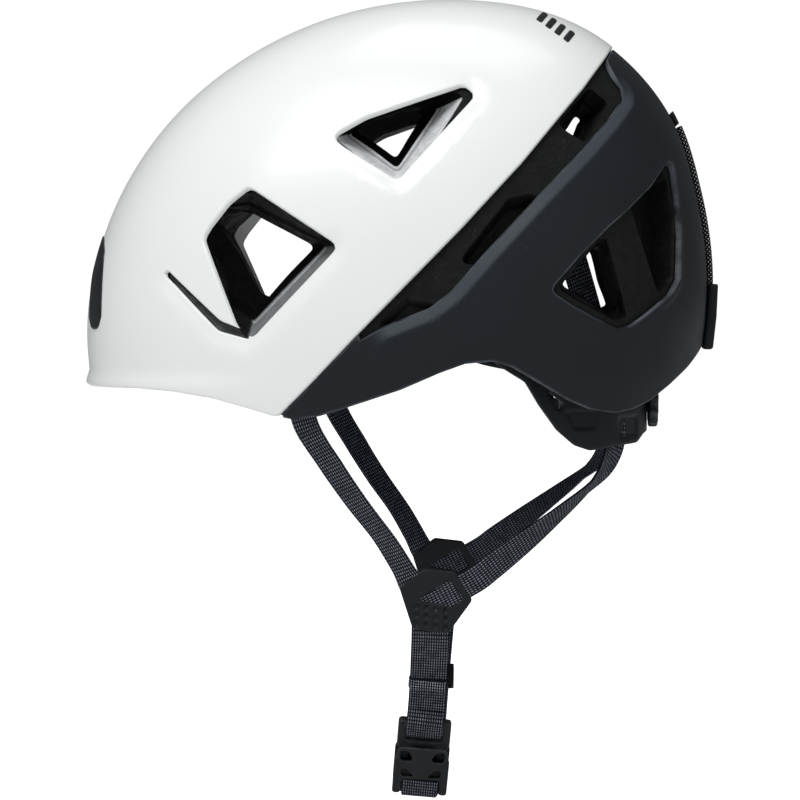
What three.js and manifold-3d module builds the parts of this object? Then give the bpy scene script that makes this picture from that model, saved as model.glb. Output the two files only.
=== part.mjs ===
// Climbing helmet, in millimetres. +Z is up, the helmet faces -X, and -Y is the wearer's left.
// The origin is on the underside of the crown pad, where the top of the head rests.
import * as THREE from 'three';
import { mergeVertices } from 'three/addons/utils/BufferGeometryUtils.js';
import Module from 'manifold-3d';

const wasm = await Module();
wasm.setup();

// ---- Driving dimensions -------------------------------------------------------------------

// The outer surface is a distance from DOME_CENTRE in each direction. Its side view is a smooth
// curve through SIDE_RADII, each [angle above straight back in degrees, radius].
const DOME_CENTRE = new THREE.Vector3(14, 0, -118);
const DOME_HALF_WIDTH = 106;
const DOME_ROUNDNESS = 2.2;
const SIDE_RADII = [
  [-120, 104], [-90, 102], [-60, 108], [-30, 117], [0, 123], [15, 129.5], [30, 138.5], [45, 151],
  [60, 158], [70, 159], [85, 156.5], [100, 155], [120, 154.5], [140, 155.5], [160, 156], [180, 155.5],
  [200, 150], [225, 135], [240, 104],
];
const DOME_STEPS = 42;
const DOME_RINGS = 22;

const SHELL_THICKNESS = 2;
const REAR_SHELL_INSET = 0.8;
const SHELL_TO_FOAM_GAP = 0.4;
const FOAM_AT_CROWN = 27;
const FOAM_AT_RIM = 18;
const FOAM_THINS_FROM = -70;
const FOAM_THIN_BELOW = -125;
const FOAM_ABOVE_RIM = 2;
const BRIM_FLARE = 2.5;
const BRIM_CREASE = -127;
const BRIM_BOTTOM = -134;
const BRIM_BACK = -50;
const FIT_GAP = 0.3;

// Headband and cradle. The cradle is a band on an ellipse seen from above.
const CRADLE_CENTRE_X = 30;
const CRADLE_LENGTH = 82;
const CRADLE_HALF_WIDTH = 68;
const CRADLE_THICKNESS = 2.5;
const TILT_X = -20;
const TILT_Z = -112;
const PIN_RADIUS = 2;
const PIN_HEAD_RADIUS = 4.5;
const PIN_HOLE = [-94, -70];
const DIAL_Z = -141;
const DIAL_RADIUS = 13.5;
const DIAL_FRONT = 112.4;
const DIAL_BACK = 116.8;
const DIAL_SCALLOPS = 12;
const SCALLOP_DEPTH = 0.9;
const HOUSING_FRONT = 94.2;
const HOUSING_BACK = 100.6;
const HOUSING_HALF_WIDTH = 22.5;
const HOUSING_HALF_HEIGHT = 10;
const HOUSING_WALL = 1.5;
const HOUSING_END_SLOT = 7.6;
const COVER_THICKNESS = 1.4;
const COVER_HALF_WIDTH = 21;
const SHAFT_RADIUS = 3.2;
const SHAFT_HOLE_RADIUS = 4;
const SCREW_RADIUS = 1;
const SCREW_HEAD_RADIUS = 2.6;
const PINION_TEETH = 8;
const PINION_PITCH_RADIUS = 3.2;
const TOOTH_ADDENDUM = 0.6;
const TOOTH_DEDENDUM = 0.9;
const RACK_TEETH = 9;
const RACK_BACKING = 3;
const RACK_FRONT = 96.5;
const RACK_BACK = 99.6;
const RACK_END = -23;
const ARM_WIDTH = 9;
const ARM_THICKNESS = 1.6;

// Straps
const LEG_WEBBING = 10;
const CHIN_WEBBING = 16;
const WEBBING_THICKNESS = 1.4;
const DOUBLED_THICKNESS = 2.8;
const SINGLE_THICKNESS = 1.6;
const DIVIDER_Y = 72;
const DIVIDER_THICKNESS = 3;

// Chin buckle: its own frame has x across the webbing and z up along it.
const BUCKLE_PLACE = [11, -27.5, -301.5];
const BUCKLE_LEAN = 32;
const BUCKLE_TURN = 5;

// ---- Materials ----------------------------------------------------------------------------

const white = new THREE.MeshStandardMaterial({ color: 0xe9edea, roughness: 0.35, metalness: 0 });
const black = new THREE.MeshStandardMaterial({ color: 0x23272c, roughness: 0.45, metalness: 0 });
const foam = new THREE.MeshStandardMaterial({ color: 0x17181a, roughness: 0.85, metalness: 0 });
const textile = new THREE.MeshStandardMaterial({ color: 0x2a2c30, roughness: 0.95, metalness: 0 });
const webbing = new THREE.MeshStandardMaterial({ color: 0x15181f, roughness: 0.9, metalness: 0 });
const plastic = new THREE.MeshStandardMaterial({ color: 0x1b1d20, roughness: 0.5, metalness: 0 });
const steel = new THREE.MeshStandardMaterial({ color: 0x9a9da1, roughness: 0.35, metalness: 1 });

const helmet = new THREE.Group();

function place(name, geometry, material, parent = helmet) {
  const mesh = new THREE.Mesh(geometry, material);
  mesh.name = name;
  parent.add(mesh);
  return mesh;
}

// ---- Solids -------------------------------------------------------------------------------

function toSolid(geometry) {
  const bare = geometry.clone();
  bare.deleteAttribute('normal');
  bare.deleteAttribute('uv');
  const merged = mergeVertices(bare, 1e-4);
  return new wasm.Manifold(new wasm.Mesh({
    numProp: 3,
    vertProperties: new Float32Array(merged.attributes.position.array),
    triVerts: new Uint32Array(merged.index.array),
  }));
}

function toGeometry(solid) {
  const mesh = solid.getMesh();
  const geometry = new THREE.BufferGeometry();
  geometry.setAttribute('position', new THREE.BufferAttribute(mesh.vertProperties, 3));
  geometry.setIndex(new THREE.BufferAttribute(mesh.triVerts, 1));
  geometry.computeVertexNormals();
  return geometry;
}

function indexed(points, triangles) {
  const geometry = new THREE.BufferGeometry();
  geometry.setAttribute('position', new THREE.Float32BufferAttribute(points.flat(), 3));
  geometry.setIndex(triangles);
  return geometry;
}

// The same shape on the other side of the middle plane.
function mirrored(geometry) {
  const copy = geometry.clone();
  copy.scale(1, -1, 1);
  const order = copy.index.array;
  for (let i = 0; i < order.length; i += 3) {
    [order[i + 1], order[i + 2]] = [order[i + 2], order[i + 1]];
  }
  return copy;
}

function box(x0, x1, y0, y1, z0, z1) {
  const geometry = new THREE.BoxGeometry(x1 - x0, y1 - y0, z1 - z0);
  geometry.translate((x0 + x1) / 2, (y0 + y1) / 2, (z0 + z1) / 2);
  return geometry;
}

// An outline drawn in the side view, [x, z] points, as a slab from yLow to yHigh.
function sideSlab(outline, yLow, yHigh) {
  const shape = outline instanceof THREE.Shape
    ? outline
    : new THREE.Shape(outline.map(([x, z]) => new THREE.Vector2(x, z)));
  const geometry = new THREE.ExtrudeGeometry(shape, { depth: yHigh - yLow, bevelEnabled: false });
  geometry.rotateX(Math.PI / 2);
  geometry.translate(0, yHigh, 0);
  return geometry;
}

function bothSides(solid) {
  return solid.add(solid.mirror([0, 1, 0]));
}

// A cutter whose side outline changes evenly from outer to inner, for a tapered opening.
function taperedCutter(outer, inner, yOuter, yInner, reach = 14) {
  const step = reach / Math.abs(yOuter - yInner);
  const at = (share) => outer.map(([x, z], i) => [
    x + (inner[i][0] - x) * share,
    yOuter + (yInner - yOuter) * share,
    z + (inner[i][1] - z) * share,
  ]);
  const rings = [at(-step), at(1)];
  const count = outer.length;
  const flat = outer.map(([x, z]) => new THREE.Vector2(x, z));
  const cap = THREE.ShapeUtils.triangulateShape(flat, []);
  const triangles = [];
  const leftHanded = THREE.ShapeUtils.isClockWise(flat) !== (yOuter > yInner);
  const add = (a, b, c) => triangles.push(...(leftHanded ? [a, c, b] : [a, b, c]));
  for (const [a, b, c] of cap) {
    if (THREE.ShapeUtils.isClockWise([flat[a], flat[b], flat[c]]) ===
        THREE.ShapeUtils.isClockWise(flat)) {
      add(a, b, c);
      add(count + a, count + c, count + b);
    } else {
      add(a, c, b);
      add(count + a, count + b, count + c);
    }
  }
  for (let i = 0; i < count; i += 1) {
    const next = (i + 1) % count;
    add(i, count + i, next);
    add(next, count + i, count + next);
  }
  return indexed(rings.flat(), triangles);
}

// More stations between the given ones, on a smooth curve, so that a twisting strap stays even.
function smoothed(stations, perSpan = 3) {
  const route = new THREE.CatmullRomCurve3(stations.map(([p]) => new THREE.Vector3(...p)));
  const spans = stations.length - 1;
  const finer = [];
  for (let step = 0; step <= spans * perSpan; step += 1) {
    const i = Math.min(Math.floor(step / perSpan), spans - 1);
    const share = step / perSpan - i;
    const across = new THREE.Vector3(...stations[i][1]).normalize();
    across.lerp(new THREE.Vector3(...stations[i + 1][1]).normalize(), share);
    finer.push([route.getPoint(step / (spans * perSpan)).toArray(), across.toArray()]);
  }
  return finer;
}

// Flat webbing or strip along a path. Each station is [point, direction across the strip].
function ribbon(stations, width, thickness) {
  const points = [];
  const triangles = [];
  const spots = stations.map(([p]) => new THREE.Vector3(...p));
  stations.forEach(([, across], i) => {
    const before = spots[Math.max(i - 1, 0)];
    const after = spots[Math.min(i + 1, spots.length - 1)];
    const along = after.clone().sub(before).normalize();
    const wide = new THREE.Vector3(...across);
    wide.addScaledVector(along, -wide.dot(along)).normalize();
    const thick = along.clone().cross(wide);
    for (const [w, t] of [[-1, -1], [1, -1], [1, 1], [-1, 1]]) {
      const corner = spots[i].clone();
      corner.addScaledVector(wide, (w * width) / 2);
      corner.addScaledVector(thick, (t * thickness) / 2);
      points.push(corner.toArray());
    }
  });
  const last = (stations.length - 1) * 4;
  triangles.push(0, 2, 1, 0, 3, 2, last, last + 1, last + 2, last, last + 2, last + 3);
  for (let i = 0; i < last; i += 4) {
    for (let k = 0; k < 4; k += 1) {
      const a = i + k;
      const b = i + ((k + 1) % 4);
      // The two wide faces are split along the same diagonal, so a twist doesn't change the thickness.
      if (k < 2) triangles.push(a, b, a + 4, b, b + 4, a + 4);
      else triangles.push(a, b, b + 4, a, b + 4, a + 4);
    }
  }
  return indexed(points, triangles);
}

// A round bar along the X axis.
function barX(radius, x0, x1, y, z, sides = 24) {
  const geometry = new THREE.CylinderGeometry(radius, radius, x1 - x0, sides);
  geometry.rotateZ(-Math.PI / 2);
  geometry.translate((x0 + x1) / 2, y, z);
  return geometry;
}

// A round bar along the Y axis.
function barY(radius, y0, y1, x, z, sides = 20) {
  const geometry = new THREE.CylinderGeometry(radius, radius, y1 - y0, sides);
  geometry.translate(x, (y0 + y1) / 2, z);
  return geometry;
}

// ---- Dome surface -------------------------------------------------------------------------

function sideRadius(angle) {
  const wrapped = THREE.MathUtils.euclideanModulo(angle + 120, 360) - 120;
  let i = 0;
  while (i < SIDE_RADII.length - 2 && wrapped >= SIDE_RADII[i + 1][0]) i += 1;
  const slope = (j) => {
    if (j === 0 || j === SIDE_RADII.length - 1) return 0;
    const [a0, r0] = SIDE_RADII[j - 1];
    const [a1, r1] = SIDE_RADII[j + 1];
    return (r1 - r0) / (a1 - a0);
  };
  const [start, r0] = SIDE_RADII[i];
  const [end, r1] = SIDE_RADII[i + 1];
  const h = end - start;
  const t = (wrapped - start) / h;
  return (2 * t ** 3 - 3 * t ** 2 + 1) * r0 + (t ** 3 - 2 * t ** 2 + t) * h * slope(i)
    + (-2 * t ** 3 + 3 * t ** 2) * r1 + (t ** 3 - t ** 2) * h * slope(i + 1);
}

function domeRadius(direction) {
  const side = Math.hypot(direction.x, direction.z);
  const angle = THREE.MathUtils.radToDeg(Math.atan2(direction.z, direction.x));
  const bulk = (side / sideRadius(angle)) ** DOME_ROUNDNESS
    + (Math.abs(direction.y) / DOME_HALF_WIDTH) ** DOME_ROUNDNESS;
  return bulk ** (-1 / DOME_ROUNDNESS);
}

// How far the front brim turns out at a point of the outer surface.
function brimFlare(point) {
  const down = THREE.MathUtils.smoothstep(-point.z, -BRIM_CREASE, -BRIM_BOTTOM);
  const front = THREE.MathUtils.smoothstep(-point.x, -BRIM_BACK, 90);
  return BRIM_FLARE * down * front;
}

function outerOffset(point) {
  return brimFlare(point);
}

function cavityOffset(point) {
  const thick = THREE.MathUtils.smoothstep(point.z, FOAM_THIN_BELOW, FOAM_THINS_FROM);
  return -(FOAM_AT_RIM + (FOAM_AT_CROWN - FOAM_AT_RIM) * thick);
}

// A closed dome whose surface lies offset(point) outside the outer surface, minus inset.
function dome(inset = 0, offset = outerOffset) {
  const points = [];
  const triangles = [];
  const spot = (tilt, turn) => {
    const direction = new THREE.Vector3(
      Math.sin(tilt) * Math.cos(turn), -Math.cos(tilt), Math.sin(tilt) * Math.sin(turn),
    );
    const reach = domeRadius(direction);
    const onSurface = direction.clone().multiplyScalar(reach).add(DOME_CENTRE);
    return direction.multiplyScalar(reach - inset + offset(onSurface)).add(DOME_CENTRE).toArray();
  };
  points.push(spot(0, 0));
  for (let ring = 1; ring < DOME_RINGS; ring += 1) {
    for (let step = 0; step < DOME_STEPS; step += 1) {
      points.push(spot((Math.PI * ring) / DOME_RINGS, (2 * Math.PI * step) / DOME_STEPS));
    }
  }
  points.push(spot(Math.PI, 0));
  const at = (ring, step) => 1 + (ring - 1) * DOME_STEPS + (step % DOME_STEPS);
  const end = points.length - 1;
  for (let step = 0; step < DOME_STEPS; step += 1) {
    triangles.push(0, at(1, step), at(1, step + 1));
    for (let ring = 1; ring < DOME_RINGS - 1; ring += 1) {
      const [a, b] = [at(ring, step), at(ring, step + 1)];
      const [c, d] = [at(ring + 1, step), at(ring + 1, step + 1)];
      triangles.push(a, c, b, b, c, d);
    }
    triangles.push(at(DOME_RINGS - 1, step), end, at(DOME_RINGS - 1, step + 1));
  }
  return toSolid(indexed(points, triangles));
}

// ---- Outlines in the side view, [x, z] ----------------------------------------------------

// Lower rim, front to back.
const FRONT_RIM = [
  [-160, -133], [-142, -133.5], [-134, -135], [-109, -134.5], [-91, -135.5], [-75, -138],
  [-63, -141.5], [-48, -146],
];
const REAR_RIM = [
  [-42, -147], [-30, -145.5], [-16, -141], [5, -134], [21, -127], [32, -123], [44, -122],
  [52, -124.5], [63, -131], [76, -139], [85, -143], [96, -145], [104, -143.5], [111, -140.5],
  [120, -134], [129, -126.5], [137, -118], [160, -118],
];
// Where the front shell ends, from the rim up to the crown.
const SHELL_JOIN = [
  [-33, -131], [-12, -109], [30, -66], [56, -37.5], [82, -5], [92, 9.5], [98, 20], [112, 46],
];
// Edge of the rear shell along the long slot, from where it leaves the join to the top end.
const SLOT_EDGE = [
  [-14, -114], [-3, -107], [7, -103], [17, -99], [26, -92], [40, -76], [64, -50], [82, -31],
  [93, -18], [100, -8], [100, -3.5], [95, 3], [92.5, 9],
];
const SIDE_VENT = [
  [-61, -48], [-22, -73], [-60, -113], [-66, -107], [-81, -70], [-78, -65], [-70, -55],
];
const SIDE_VENT_INNER = [
  [-63, -56], [-39, -74], [-57, -93], [-72, -92], [-86, -64], [-84, -60], [-76, -55],
];
const LAMP_SLIT = [
  [-98, -85], [-97, -84], [-73, -106], [-62, -110], [-60, -113], [-74, -109],
];
const UPPER_VENT = [[-26, -27], [-11, -18.5], [12, -10.5], [31, -4], [36, -8], [3, -45]];
const UPPER_VENT_INNER = [[-17, -24], [-11, -19], [-3, -15], [8, -16], [10, -20], [-1, -32]];
const REAR_WINDOW = [
  [68, -92], [81, -77], [93, -65], [101, -58], [112, -47], [121, -33], [123, -49], [124.5, -68],
  [124, -87], [120, -94], [110, -102], [103, -107], [97, -108.5], [86, -103], [77, -98],
];
// Openings in the foam behind the slot and the rear window.
const SLOT_HOLE = [[70, -22], [86, -2], [97, -10], [82, -30]];
const SLOT_POCKET = [[29, -80], [51, -52], [61, -50], [67, -54], [42, -80]];
const SLOT_LOW_POCKET = [[-6, -107], [7, -95], [20, -98], [17, -104], [2, -112]];
const WINDOW_FRONT_HOLE = [[70, -91], [92, -67], [103, -106], [96, -107], [79, -97]];
const WINDOW_FRONT_HOLE_INNER = [[71, -88], [88, -70], [97, -100], [92, -101], [79, -94]];
const WINDOW_REAR_POCKET = [[104, -55], [120, -37], [124, -60], [123, -87], [117, -94]];

const ABOVE_HELMET = 70;
const AHEAD_OF_HELMET = -160;
const BEHIND_HELMET = 160;
const BEYOND = 130;
const SIDE_CUT_END = -20;

// How far each opening reaches into the foam, as the y where it starts to taper and where it ends.
const SIDE_VENT_DEPTH = [-92, -60];
const UPPER_VENT_DEPTH = [-84, -45];
const WINDOW_HOLE_DEPTH = [-90, -50];
const LAMP_SLIT_FLOOR = -86;
const SLOT_POCKET_FLOOR = -84;
const SLOT_LOW_POCKET_FLOOR = -94;
const WINDOW_POCKET_FLOOR = -34;
// The space that the size dial swings through, as low and high x, y and z.
const DIAL_SPACE = [95, 124, -18, 18, -160, -109];

// ---- Shells and foam ----------------------------------------------------------------------

function sideSolid(outline, yLow = -BEYOND, yHigh = BEYOND) {
  return toSolid(sideSlab(outline, yLow, yHigh));
}

function frontShell() {
  const region = [
    ...FRONT_RIM, ...SHELL_JOIN, [SHELL_JOIN.at(-1)[0], ABOVE_HELMET],
    [AHEAD_OF_HELMET, ABOVE_HELMET],
  ];
  const wall = dome().subtract(dome(SHELL_THICKNESS));
  const openings = [SIDE_VENT, LAMP_SLIT, UPPER_VENT];
  return openings.reduce(
    (solid, outline) => solid.subtract(bothSides(sideSolid(outline, -BEYOND, SIDE_CUT_END))),
    wall.intersect(sideSolid(region)),
  );
}

function rearShell() {
  const clear = ([x, z]) => [x + FIT_GAP, z - FIT_GAP];
  const lowJoin = [FRONT_RIM.at(-1), ...SHELL_JOIN.slice(0, 2)].map(clear);
  const highJoin = SHELL_JOIN.slice(-2).map(clear);
  const region = [
    ...lowJoin, ...SLOT_EDGE, ...highJoin, [SHELL_JOIN.at(-1)[0] + FIT_GAP, ABOVE_HELMET],
    [BEHIND_HELMET, ABOVE_HELMET], ...[...REAR_RIM].reverse(),
  ];
  const wall = dome(REAR_SHELL_INSET).subtract(dome(REAR_SHELL_INSET + SHELL_THICKNESS));
  return wall.intersect(sideSolid(region))
    .subtract(bothSides(sideSolid(REAR_WINDOW, -BEYOND, SIDE_CUT_END)));
}

// The wearer's left strap anchors, and the recesses that the foam leaves for them.
const FRONT_ANCHOR = { x: -38, z: -124, y: -92 };
const REAR_ANCHOR = { x: 77, z: -70, y: -60 };
const FRONT_ANCHOR_SPACE = [-47, -29, -BEYOND, -84, -160, -116];
const REAR_ANCHOR_SPACE = [69, 85, -64, -30, -78, -63];

function foamLiner() {
  const lift = ([x, z]) => [x, z + FOAM_ABOVE_RIM];
  const region = [
    ...FRONT_RIM.map(lift), ...REAR_RIM.map(lift), [BEHIND_HELMET, ABOVE_HELMET],
    [AHEAD_OF_HELMET, ABOVE_HELMET],
  ];
  const outer = dome(REAR_SHELL_INSET + SHELL_THICKNESS + SHELL_TO_FOAM_GAP);
  const wall = outer.subtract(dome(0, cavityOffset)).intersect(sideSolid(region));
  const through = [
    taperedCutter(SIDE_VENT, SIDE_VENT_INNER, ...SIDE_VENT_DEPTH),
    taperedCutter(UPPER_VENT, UPPER_VENT_INNER, ...UPPER_VENT_DEPTH),
    taperedCutter(WINDOW_FRONT_HOLE, WINDOW_FRONT_HOLE_INNER, ...WINDOW_HOLE_DEPTH),
    sideSlab(LAMP_SLIT, -BEYOND, LAMP_SLIT_FLOOR),
    sideSlab(SLOT_POCKET, -BEYOND, SLOT_POCKET_FLOOR),
    sideSlab(SLOT_LOW_POCKET, -BEYOND, SLOT_LOW_POCKET_FLOOR),
    sideSlab(WINDOW_REAR_POCKET, -BEYOND, WINDOW_POCKET_FLOOR),
    box(...REAR_ANCHOR_SPACE),
    box(...FRONT_ANCHOR_SPACE),
  ];
  const cut = through.reduce(
    (solid, geometry) => solid.subtract(bothSides(toSolid(geometry))), wall,
  );
  const pinHoles = bothSides(toSolid(barY(PIN_RADIUS + FIT_GAP, ...PIN_HOLE, TILT_X, TILT_Z)));
  const dialSpace = toSolid(box(...DIAL_SPACE));
  return cut.subtract(sideSolid(SLOT_HOLE)).subtract(pinHoles).subtract(dialSpace);
}

place('front_shell', toGeometry(frontShell()), white);
place('rear_shell', toGeometry(rearShell()), black);
place('foam_liner', toGeometry(foamLiner()), foam);

// ---- Comfort pads -------------------------------------------------------------------------

const CROWN_PAD = { x: 14, halfLength: 36, halfWidth: 28 };
const BROW_PAD_THICKNESS = 8;
const BROW_PAD_SPACE = [-140, -72, -60, 60, -126, -100];

function crownPad() {
  const ellipse = new THREE.CylinderGeometry(1, 1, ABOVE_HELMET, 40);
  ellipse.rotateX(Math.PI / 2);
  ellipse.scale(CROWN_PAD.halfLength, CROWN_PAD.halfWidth, 1);
  ellipse.translate(CROWN_PAD.x, 0, ABOVE_HELMET / 2);
  return dome(FIT_GAP, cavityOffset).intersect(toSolid(ellipse));
}

function browPad() {
  const band = dome(FIT_GAP, cavityOffset).subtract(dome(BROW_PAD_THICKNESS, cavityOffset));
  return band.intersect(toSolid(box(...BROW_PAD_SPACE)));
}

place('crown_pad', toGeometry(crownPad()), textile);
place('brow_pad', toGeometry(browPad()), textile);

// ---- Cradle -------------------------------------------------------------------------------

// Plan-view band between two insets of the cradle's outer ellipse. It is cut to its real height
// afterwards.
function cradleBand(insetOuter, insetInner, zLow, zHigh) {
  const ring = (inset) => {
    const geometry = new THREE.CylinderGeometry(1, 1, zHigh - zLow, 72);
    geometry.rotateX(Math.PI / 2);
    geometry.scale(CRADLE_LENGTH - inset, CRADLE_HALF_WIDTH - inset, 1);
    geometry.translate(CRADLE_CENTRE_X, 0, (zLow + zHigh) / 2);
    return toSolid(geometry);
  };
  return ring(insetOuter).subtract(ring(insetInner));
}

const CRADLE_OUTLINE = [
  [44, -124], [57, -132], [63, -142], [71, -153], [79, -160], [86, -162.5], [96, -161],
  [107, -160.5], [110, -157], [120, -153], [120, -127], [90, -127], [60, -119], [44, -116],
];
const BAND_LOW = -170;
const BAND_HIGH = -110;
const WINDOW_REACH = [-90, -16];
const CRADLE_WINDOWS = [
  [[74, -144.5], [88.5, -144.5], [88.5, -153.5], [78, -153.5]],
  [[98, -148], [107, -148], [107, -158], [98, -158]],
  [[66, -136], [73, -142.5], [71, -144.5]],
];

function shaftHole() {
  return toSolid(barX(SHAFT_HOLE_RADIUS, HOUSING_FRONT + HOUSING_WALL, DIAL_BACK, 0, DIAL_Z));
}

function cradle() {
  const band = cradleBand(0, CRADLE_THICKNESS, BAND_LOW, BAND_HIGH);
  const outline = band.intersect(sideSolid(CRADLE_OUTLINE));
  const open = CRADLE_WINDOWS.reduce(
    (solid, window) => solid.subtract(bothSides(sideSolid(window, ...WINDOW_REACH))), outline,
  );
  return open.subtract(shaftHole());
}

// An open tray round the racks, with both ends slotted for the arms.
function dialHousing() {
  const wide = HOUSING_HALF_WIDTH;
  const high = HOUSING_HALF_HEIGHT;
  const floor = HOUSING_FRONT + HOUSING_WALL;
  const hollow = (halfWidth, halfHeight) => toSolid(box(
    floor, HOUSING_BACK + 1, -halfWidth, halfWidth, DIAL_Z - halfHeight, DIAL_Z + halfHeight,
  ));
  return toSolid(box(HOUSING_FRONT, HOUSING_BACK, -wide, wide, DIAL_Z - high, DIAL_Z + high))
    .subtract(hollow(wide - HOUSING_WALL, high - HOUSING_WALL))
    .subtract(hollow(wide + 1, HOUSING_END_SLOT));
}

function housingCover() {
  const front = HOUSING_BACK + FIT_GAP;
  const plate = box(front, front + COVER_THICKNESS, -COVER_HALF_WIDTH, COVER_HALF_WIDTH,
    DIAL_Z - HOUSING_HALF_HEIGHT, DIAL_Z + HOUSING_HALF_HEIGHT);
  return toSolid(plate).subtract(shaftHole());
}

// A toothed outline round the dial axis, in the plane across it.
function pinionShape() {
  const pitch = (2 * Math.PI) / PINION_TEETH;
  const root = PINION_PITCH_RADIUS - TOOTH_DEDENDUM;
  const tip = PINION_PITCH_RADIUS + TOOTH_ADDENDUM;
  const spots = [];
  for (let tooth = 0; tooth < PINION_TEETH; tooth += 1) {
    for (const [share, radius] of [[-0.3, root], [-0.11, tip], [0.11, tip], [0.3, root]]) {
      const angle = (tooth + 0.5 + share) * pitch;
      spots.push(new THREE.Vector2(radius * Math.cos(angle), radius * Math.sin(angle)));
    }
  }
  return new THREE.Shape(spots);
}

// Turns a flat outline [y, z] into a slab along X.
function frontSlab(shape, x0, x1) {
  const geometry = new THREE.ExtrudeGeometry(shape, { depth: x1 - x0, bevelEnabled: false });
  geometry.rotateX(Math.PI / 2);
  geometry.rotateZ(Math.PI / 2);
  geometry.translate(x0, 0, 0);
  return geometry;
}

function screwHole() {
  return toSolid(barX(SCREW_RADIUS + FIT_GAP, HOUSING_FRONT, DIAL_BACK + 1, 0, DIAL_Z));
}

function dialPinion() {
  const teeth = frontSlab(pinionShape(), RACK_FRONT - 0.2, RACK_BACK + 0.2);
  teeth.translate(0, 0, DIAL_Z);
  return toSolid(teeth).subtract(screwHole());
}

// The rack above the pinion, which the wearer's left arm pulls.
function rackLeft() {
  const pitch = (2 * Math.PI * PINION_PITCH_RADIUS) / PINION_TEETH;
  const tip = DIAL_Z + PINION_PITCH_RADIUS - TOOTH_ADDENDUM;
  const root = DIAL_Z + PINION_PITCH_RADIUS + TOOTH_DEDENDUM;
  const half = (RACK_TEETH * pitch) / 2;
  const outline = [[RACK_END, root], [-half, root]];
  for (let tooth = 0; tooth < RACK_TEETH; tooth += 1) {
    const middle = -half + (tooth + 0.5) * pitch;
    outline.push([middle - 0.34 * pitch, root], [middle - 0.14 * pitch, tip]);
    outline.push([middle + 0.14 * pitch, tip], [middle + 0.34 * pitch, root]);
  }
  outline.push([half, root], [half, root + RACK_BACKING], [RACK_END, root + RACK_BACKING]);
  const shape = new THREE.Shape(outline.map(([y, z]) => new THREE.Vector2(y, z)));
  return frontSlab(shape, RACK_FRONT, RACK_BACK);
}

function fitDial() {
  const spots = [];
  const steps = DIAL_SCALLOPS * 6;
  for (let step = 0; step < steps; step += 1) {
    const angle = (2 * Math.PI * step) / steps;
    const radius = DIAL_RADIUS - SCALLOP_DEPTH + SCALLOP_DEPTH * Math.cos(angle * DIAL_SCALLOPS);
    spots.push(new THREE.Vector2(radius * Math.cos(angle), radius * Math.sin(angle)));
  }
  const grip = frontSlab(new THREE.Shape(spots), DIAL_FRONT, DIAL_BACK);
  grip.translate(0, 0, DIAL_Z);
  const shaft = barX(SHAFT_RADIUS, RACK_BACK + 2 * FIT_GAP, DIAL_FRONT + 1, 0, DIAL_Z);
  const headRecess = barX(SCREW_HEAD_RADIUS + 0.4, DIAL_BACK - 1.6, DIAL_BACK + 1, 0, DIAL_Z);
  return toSolid(grip).add(toSolid(shaft)).subtract(toSolid(headRecess)).subtract(screwHole());
}

function dialScrew() {
  const head = barX(SCREW_HEAD_RADIUS, DIAL_BACK - 1.3, DIAL_BACK - 0.3, 0, DIAL_Z, 20);
  return toSolid(barX(SCREW_RADIUS, RACK_FRONT - 0.2, DIAL_BACK - 1, 0, DIAL_Z, 12))
    .add(toSolid(head));
}

const SPRING_X = 107;
const SPRING_WIDTH = 2;
const SPRING_THICKNESS = 0.5;

// A bent leaf that clicks against the dial shaft.
function clickSpring() {
  const bends = [[-11, 4.8], [-6, 4.6], [-2, 4.1], [0, 3.9], [2, 4.1], [6, 4.6], [11, 4.8]];
  const stations = bends.map(([y, z]) => [[SPRING_X, y, DIAL_Z + z], [1, 0, 0]]);
  return ribbon(stations, SPRING_WIDTH, SPRING_THICKNESS);
}

// The flexible strip from the rack round the inside of the cradle to the side pin.
const ARM_INSET = CRADLE_THICKNESS + 1.9;
const ARM_REAR = [[98.1, RACK_END - 0.4, -136.6], [97.6, -27.5, -136]];
const ARM_BENDS = [33, 43, 53, 63, 72, 82];
const ARM_LOW_Z = -134.5;
const ARM_RISE = 2.8;
const ARM_FRONT = [[30, -68.5, -117.5], [8, -76, -114], [-14, -81, -112], [-27, -82, -111.5]];

// A point on the wearer's left of the cradle's ellipse, turned forward from straight back.
function cradleSpot(degrees, inset, z) {
  const turn = THREE.MathUtils.degToRad(degrees);
  return [
    CRADLE_CENTRE_X + (CRADLE_LENGTH - inset) * Math.cos(turn),
    -(CRADLE_HALF_WIDTH - inset) * Math.sin(turn),
    z,
  ];
}

function headbandArm() {
  const bends = ARM_BENDS.map(
    (degrees, i) => cradleSpot(degrees, ARM_INSET, ARM_LOW_Z + ARM_RISE * i),
  );
  const path = [...ARM_REAR, ...bends, ...ARM_FRONT];
  const strip = toSolid(ribbon(path.map((p) => [p, [0, 0, 1]]), ARM_WIDTH, ARM_THICKNESS));
  return strip.subtract(toSolid(barY(PIN_RADIUS + FIT_GAP, ...PIN_HOLE, TILT_X, TILT_Z)));
}

function headbandPin() {
  return toSolid(barY(PIN_RADIUS, -92, -79, TILT_X, TILT_Z))
    .add(toSolid(barY(PIN_HEAD_RADIUS, -80.2, -78.8, TILT_X, TILT_Z)));
}

const CRADLE_PAD_INSET = 10;
const CRADLE_PAD_THICKNESS = 4.5;
const CRADLE_PAD_SPACE = [56, 100, -62, -26, -153, -130];

function cradlePad() {
  const band = cradleBand(CRADLE_PAD_INSET, CRADLE_PAD_INSET + CRADLE_PAD_THICKNESS,
    BAND_LOW, BAND_HIGH);
  return band.intersect(toSolid(box(...CRADLE_PAD_SPACE)));
}

place('cradle', toGeometry(cradle()), plastic);
place('dial_housing', toGeometry(dialHousing()), plastic);
place('housing_cover', toGeometry(housingCover()), plastic);
place('fit_dial', toGeometry(fitDial()), plastic);
place('dial_pinion', toGeometry(dialPinion()), plastic);
place('dial_screw', toGeometry(dialScrew()), steel);
place('click_spring', clickSpring(), steel);

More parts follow.
